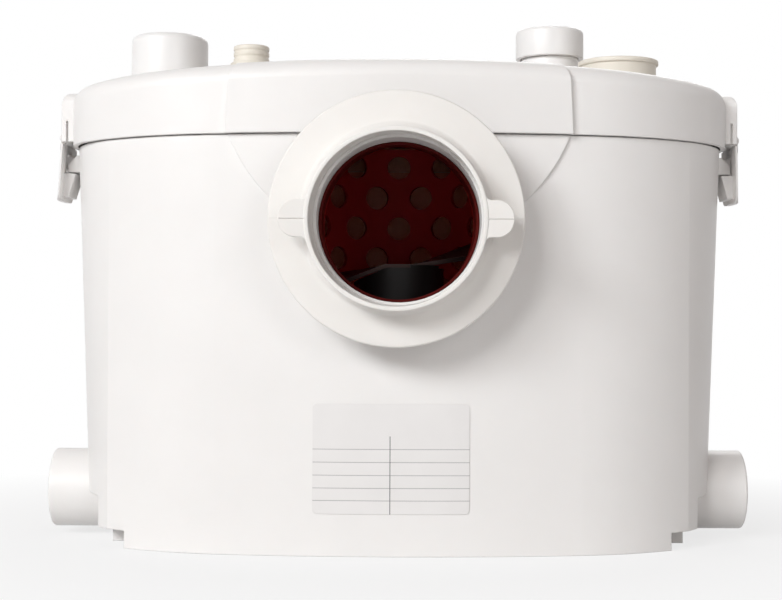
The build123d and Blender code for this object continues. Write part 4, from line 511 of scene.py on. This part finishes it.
cap_radius, cap_bore, cap_roof = 20.4, 17.55, 1.7
cap_foot, cap_top = ends("discharge_cap")
cap_points = [
    ((0, cap_top), 0), ((12.0, cap_top - 0.15), 6.0), ((cap_radius, cap_top - 0.7), 3.4),
    ((cap_radius, cap_foot), 0.8), ((cap_bore, cap_foot), 0.8), ((cap_bore, cap_top - cap_roof), 0.3),
    ((0, cap_top - cap_roof), 0),
]


def turned_piece(name, points, steps, place, finish, body, replaced, slot, around=160):
    """A piece turned from outline points that each carry the radius of their corner."""
    profile = softened([point for point, _ in points], [corner for _, corner in points], steps)
    return as_piece(name, *turned_mesh(profile, place, "Z", around), finish, body, [replaced], slot)


turned_piece("screw_cap", cap_points, 6, discharge_place, cap_white, "discharge_cap", "discharge_cap", "shell")

# ---------------------------------------------------------------- vent cap, top inlet cap, gland
vent_place, vent_radius, vent_bore, vent_roof = (-137.5, 0), 22.65, 20.3, 2.5
vent_foot, vent_top = ends("vent_cap")
vent_points = [
    ((0, vent_top), 0), ((14.0, vent_top - 0.15), 8.0), ((vent_radius, vent_top - 1.0), 5.2),
    ((vent_radius, vent_foot), 0.7), ((vent_bore, vent_foot), 0.5), ((vent_bore, vent_top - vent_roof), 1.0),
    ((0, vent_top - vent_roof), 0),
]
turned_piece("round_vent_cap", vent_points, 7, vent_place, cap_white, "vent_cap", "vent_cap", "shell")

inlet_place, rim_radius, skirt_radius, skirt_bore = (128.1, -19.0), 23.4, 22.0, 20.3
rim_height, inlet_roof = 2.6, 4.4
inlet_foot, inlet_top = ends("top_inlet_cap")
rim_top = inlet_top - 0.7
inlet_points = [
    ((0, inlet_top), 0), ((15.0, inlet_top - 0.15), 8.0),
    ((rim_radius, rim_top), 1.0), ((rim_radius, rim_top - rim_height), 0.7),
    ((skirt_radius, rim_top - rim_height - 0.4), 0.5), ((skirt_radius, inlet_foot), 0.6),
    ((skirt_bore, inlet_foot), 0.5), ((skirt_bore, inlet_top - inlet_roof), 0.8),
    ((0, inlet_top - inlet_roof), 0),
]
turned_piece("rubber_inlet_cap", inlet_points, 5, inlet_place, ivory, "top_inlet_cap", "top_inlet_cap", "ivory")

gland_place, cable_bore, screw_bore, screw_radius = (-85.8, -30.0), 4.0, 5.0, 7.7
base_radius, shoulder_radius, stub_radius = 13.3, 12.0, 10.3
screw_foot, boss_top, shoulder_top = 252.0, 268.5, 275.2
bore_foot = boss_top + 0.5
_, gland_top = ends("cable_gland")
gland_points = [
    ((screw_bore, screw_foot), 0.2), ((screw_radius, screw_foot), 0.4), ((screw_radius, boss_top), 0),
    ((base_radius, boss_top), 0.6), ((base_radius, 270.4), 0.9), ((12.5, 272.8), 0.9),
    ((shoulder_radius, shoulder_top), 0.6), ((10.6, 275.6), 0.4), ((stub_radius, 277.6), 0.3),
    ((9.8, 278.0), 0.3), ((9.8, 279.0), 0.3), ((stub_radius, 279.4), 0.3), ((stub_radius, 281.2), 0.3),
    ((9.9, 281.5), 0.3), ((9.9, 282.4), 0.3), ((stub_radius, 282.7), 0.3), ((stub_radius, gland_top), 1.3),
    ((cable_bore, gland_top), 0.9), ((cable_bore, bore_foot), 0.2), ((screw_bore, bore_foot), 0.2),
]
turned_piece("ribbed_gland", gland_points, 4, gland_place, ivory, "casing", "cable_gland", "ivory", 96)


# ---------------------------------------------------------------- wound coils
coil_radius, coil_half, coil_height, coil_square = 39, 8, 10, 0.75
turns_shown, turn_depth = 12, 0.9


def coil_wave(radius, height, angle):
    lobes = abs(math.sin(turns_shown * angle)) ** 0.5
    return radius + (turn_depth * lobes - turn_depth) * (1 if radius > coil_radius else -1)


def rounded_share(value):
    """A sine or cosine whose circle is drawn out towards a square."""
    return math.copysign(abs(value) ** coil_square, value)


def coil_mesh(low, high):
    ring = []
    for k in range(28):
        turn = 2 * math.pi * k / 28
        ring.append((coil_radius + coil_half * rounded_share(math.cos(turn)),
                     (low + high) / 2 + (high - low) / 2 * rounded_share(math.sin(turn))))
    return turned_mesh(ring, (0, motor_y / MM), "Z", 288, coil_wave)


coil_low, coil_high = ends("windings")
as_piece("wound_coils", *joined(coil_mesh(coil_low, coil_low + coil_height),
                                coil_mesh(coil_high - coil_height, coil_high)),
         copper, "casing", ["windings"], "copper", 60)

# ---------------------------------------------------------------- stage, lights and world
floor_side, floor_front, floor_back, floor_gap = 6, -6, 8, 0.0002
floor_corners = [(-floor_side, floor_front, 0), (floor_side, floor_front, 0), (floor_side, floor_back, 0),
                 (-floor_side, floor_back, 0)]
floor_mesh = bpy.data.meshes.new("floor")
floor_mesh.from_pydata(floor_corners, [], [(0, 1, 2, 3)])
floor = bpy.data.objects.new("floor", floor_mesh)
bpy.context.scene.collection.objects.link(floor)
floor.location.z = -floor_gap
paper = Tree("pale_floor")
paper.shader.inputs["Specular IOR Level"].default_value = 0.1
paper.shader.inputs["Roughness"].default_value = 0.9
paper.wire("Base Color", paper.ramp(paper.noise(0.4), (0.80, 0.80, 0.80), (0.82, 0.82, 0.82)))
paper_x, paper_y, _ = paper.axes()
paper_reach = paper.math("SQRT", paper.math("ADD", paper.math("POWER", paper_x, 2.0), paper.math(
    "POWER", paper.math("MULTIPLY", paper_y, 1.2), 2.0)))
rays = paper.add("ShaderNodeLightPath").outputs
seen = paper.math("MAXIMUM", rays["Is Camera Ray"], paper.math(
    "MAXIMUM", rays["Is Glossy Ray"], rays["Is Transmission Ray"]))
glow = paper.add("ShaderNodeEmission", {"Color": (1, 1, 1, 1), "Strength": 1.0}).outputs[0]
veil = paper.math("MULTIPLY", seen, paper.span(paper_reach, 0.74, 1.0, 0.2, 0.5))
blend_floor = paper.add("ShaderNodeMixShader", {0: veil}).inputs
paper.links.new(paper.shader.outputs[0], blend_floor[1])
paper.links.new(glow, blend_floor[2])
output = next(n for n in paper.nodes if n.type == "OUTPUT_MATERIAL")
paper.links.new(blend_floor[0].node.outputs[0], output.inputs["Surface"])
floor.data.materials.append(paper.material)


lamp_aim = Vector((0, 0, 0.15))


def lamp(name, place, size, power, colour=(1, 1, 1)):
    """A soft box that faces the object, with its size in metres and its power in watts."""
    data = bpy.data.lights.new(name, "AREA")
    data.shape, data.size, data.size_y = "RECTANGLE", size[0], size[1]
    data.energy, data.color = power, colour
    light = bpy.data.objects.new(name, data)
    light.location = place
    light.rotation_euler = (lamp_aim - Vector(place)).to_track_quat("-Z", "Y").to_euler()
    bpy.context.scene.collection.objects.link(light)


lamp("key", (-2.9, -2.9, 2.1), (1.2, 1.2), 92.0, (0.96, 0.985, 1.0))
lamp("second", (-1.75, -3.7, 1.9), (1.2, 1.2), 58.0)
lamp("right", (2.0, -3.7, 1.5), (1.6, 1.6), 25.0)
lamp("back", (0.7, 3.4, 2.4), (2.0, 1.6), 30.0)

# A warm dim sky lights the object, and a white one shows behind it
sky_strength, sky_colour = 0.15, (1.0, 0.82, 0.75)
world = bpy.data.worlds.new("studio")
bpy.context.scene.world = world
world.use_nodes = True
sky = world.node_tree
sky.nodes.clear()
sky_rays = sky.nodes.new("ShaderNodeLightPath").outputs
first = sky.nodes.new("ShaderNodeMath")
first.operation = "MAXIMUM"
sky.links.new(sky_rays["Is Camera Ray"], first.inputs[0])
sky.links.new(sky_rays["Is Glossy Ray"], first.inputs[1])
second = sky.nodes.new("ShaderNodeMath")
second.operation = "MAXIMUM"
sky.links.new(first.outputs[0], second.inputs[0])
sky.links.new(sky_rays["Is Transmission Ray"], second.inputs[1])
strength = sky.nodes.new("ShaderNodeMapRange")
sky.links.new(second.outputs[0], strength.inputs["Value"])
strength.inputs["To Min"].default_value = sky_strength
strength.inputs["To Max"].default_value = 1.0
air = sky.nodes.new("ShaderNodeBackground")
warmth = sky.nodes.new("ShaderNodeMapRange")
warmth.data_type = "FLOAT_VECTOR"
sky.links.new(second.outputs[0], warmth.inputs["Vector"])
lit_colour, seen_colour = warmth.inputs[9], warmth.inputs[10]
lit_colour.default_value, seen_colour.default_value = sky_colour, (1.0, 1.0, 1.0)
sky.links.new(warmth.outputs["Vector"], air.inputs["Color"])
sky.links.new(strength.outputs["Result"], air.inputs["Strength"])
sky_end = sky.nodes.new("ShaderNodeOutputWorld")
sky.links.new(air.outputs[0], sky_end.inputs["Surface"])

bpy.context.scene.view_settings.view_transform = "Standard"
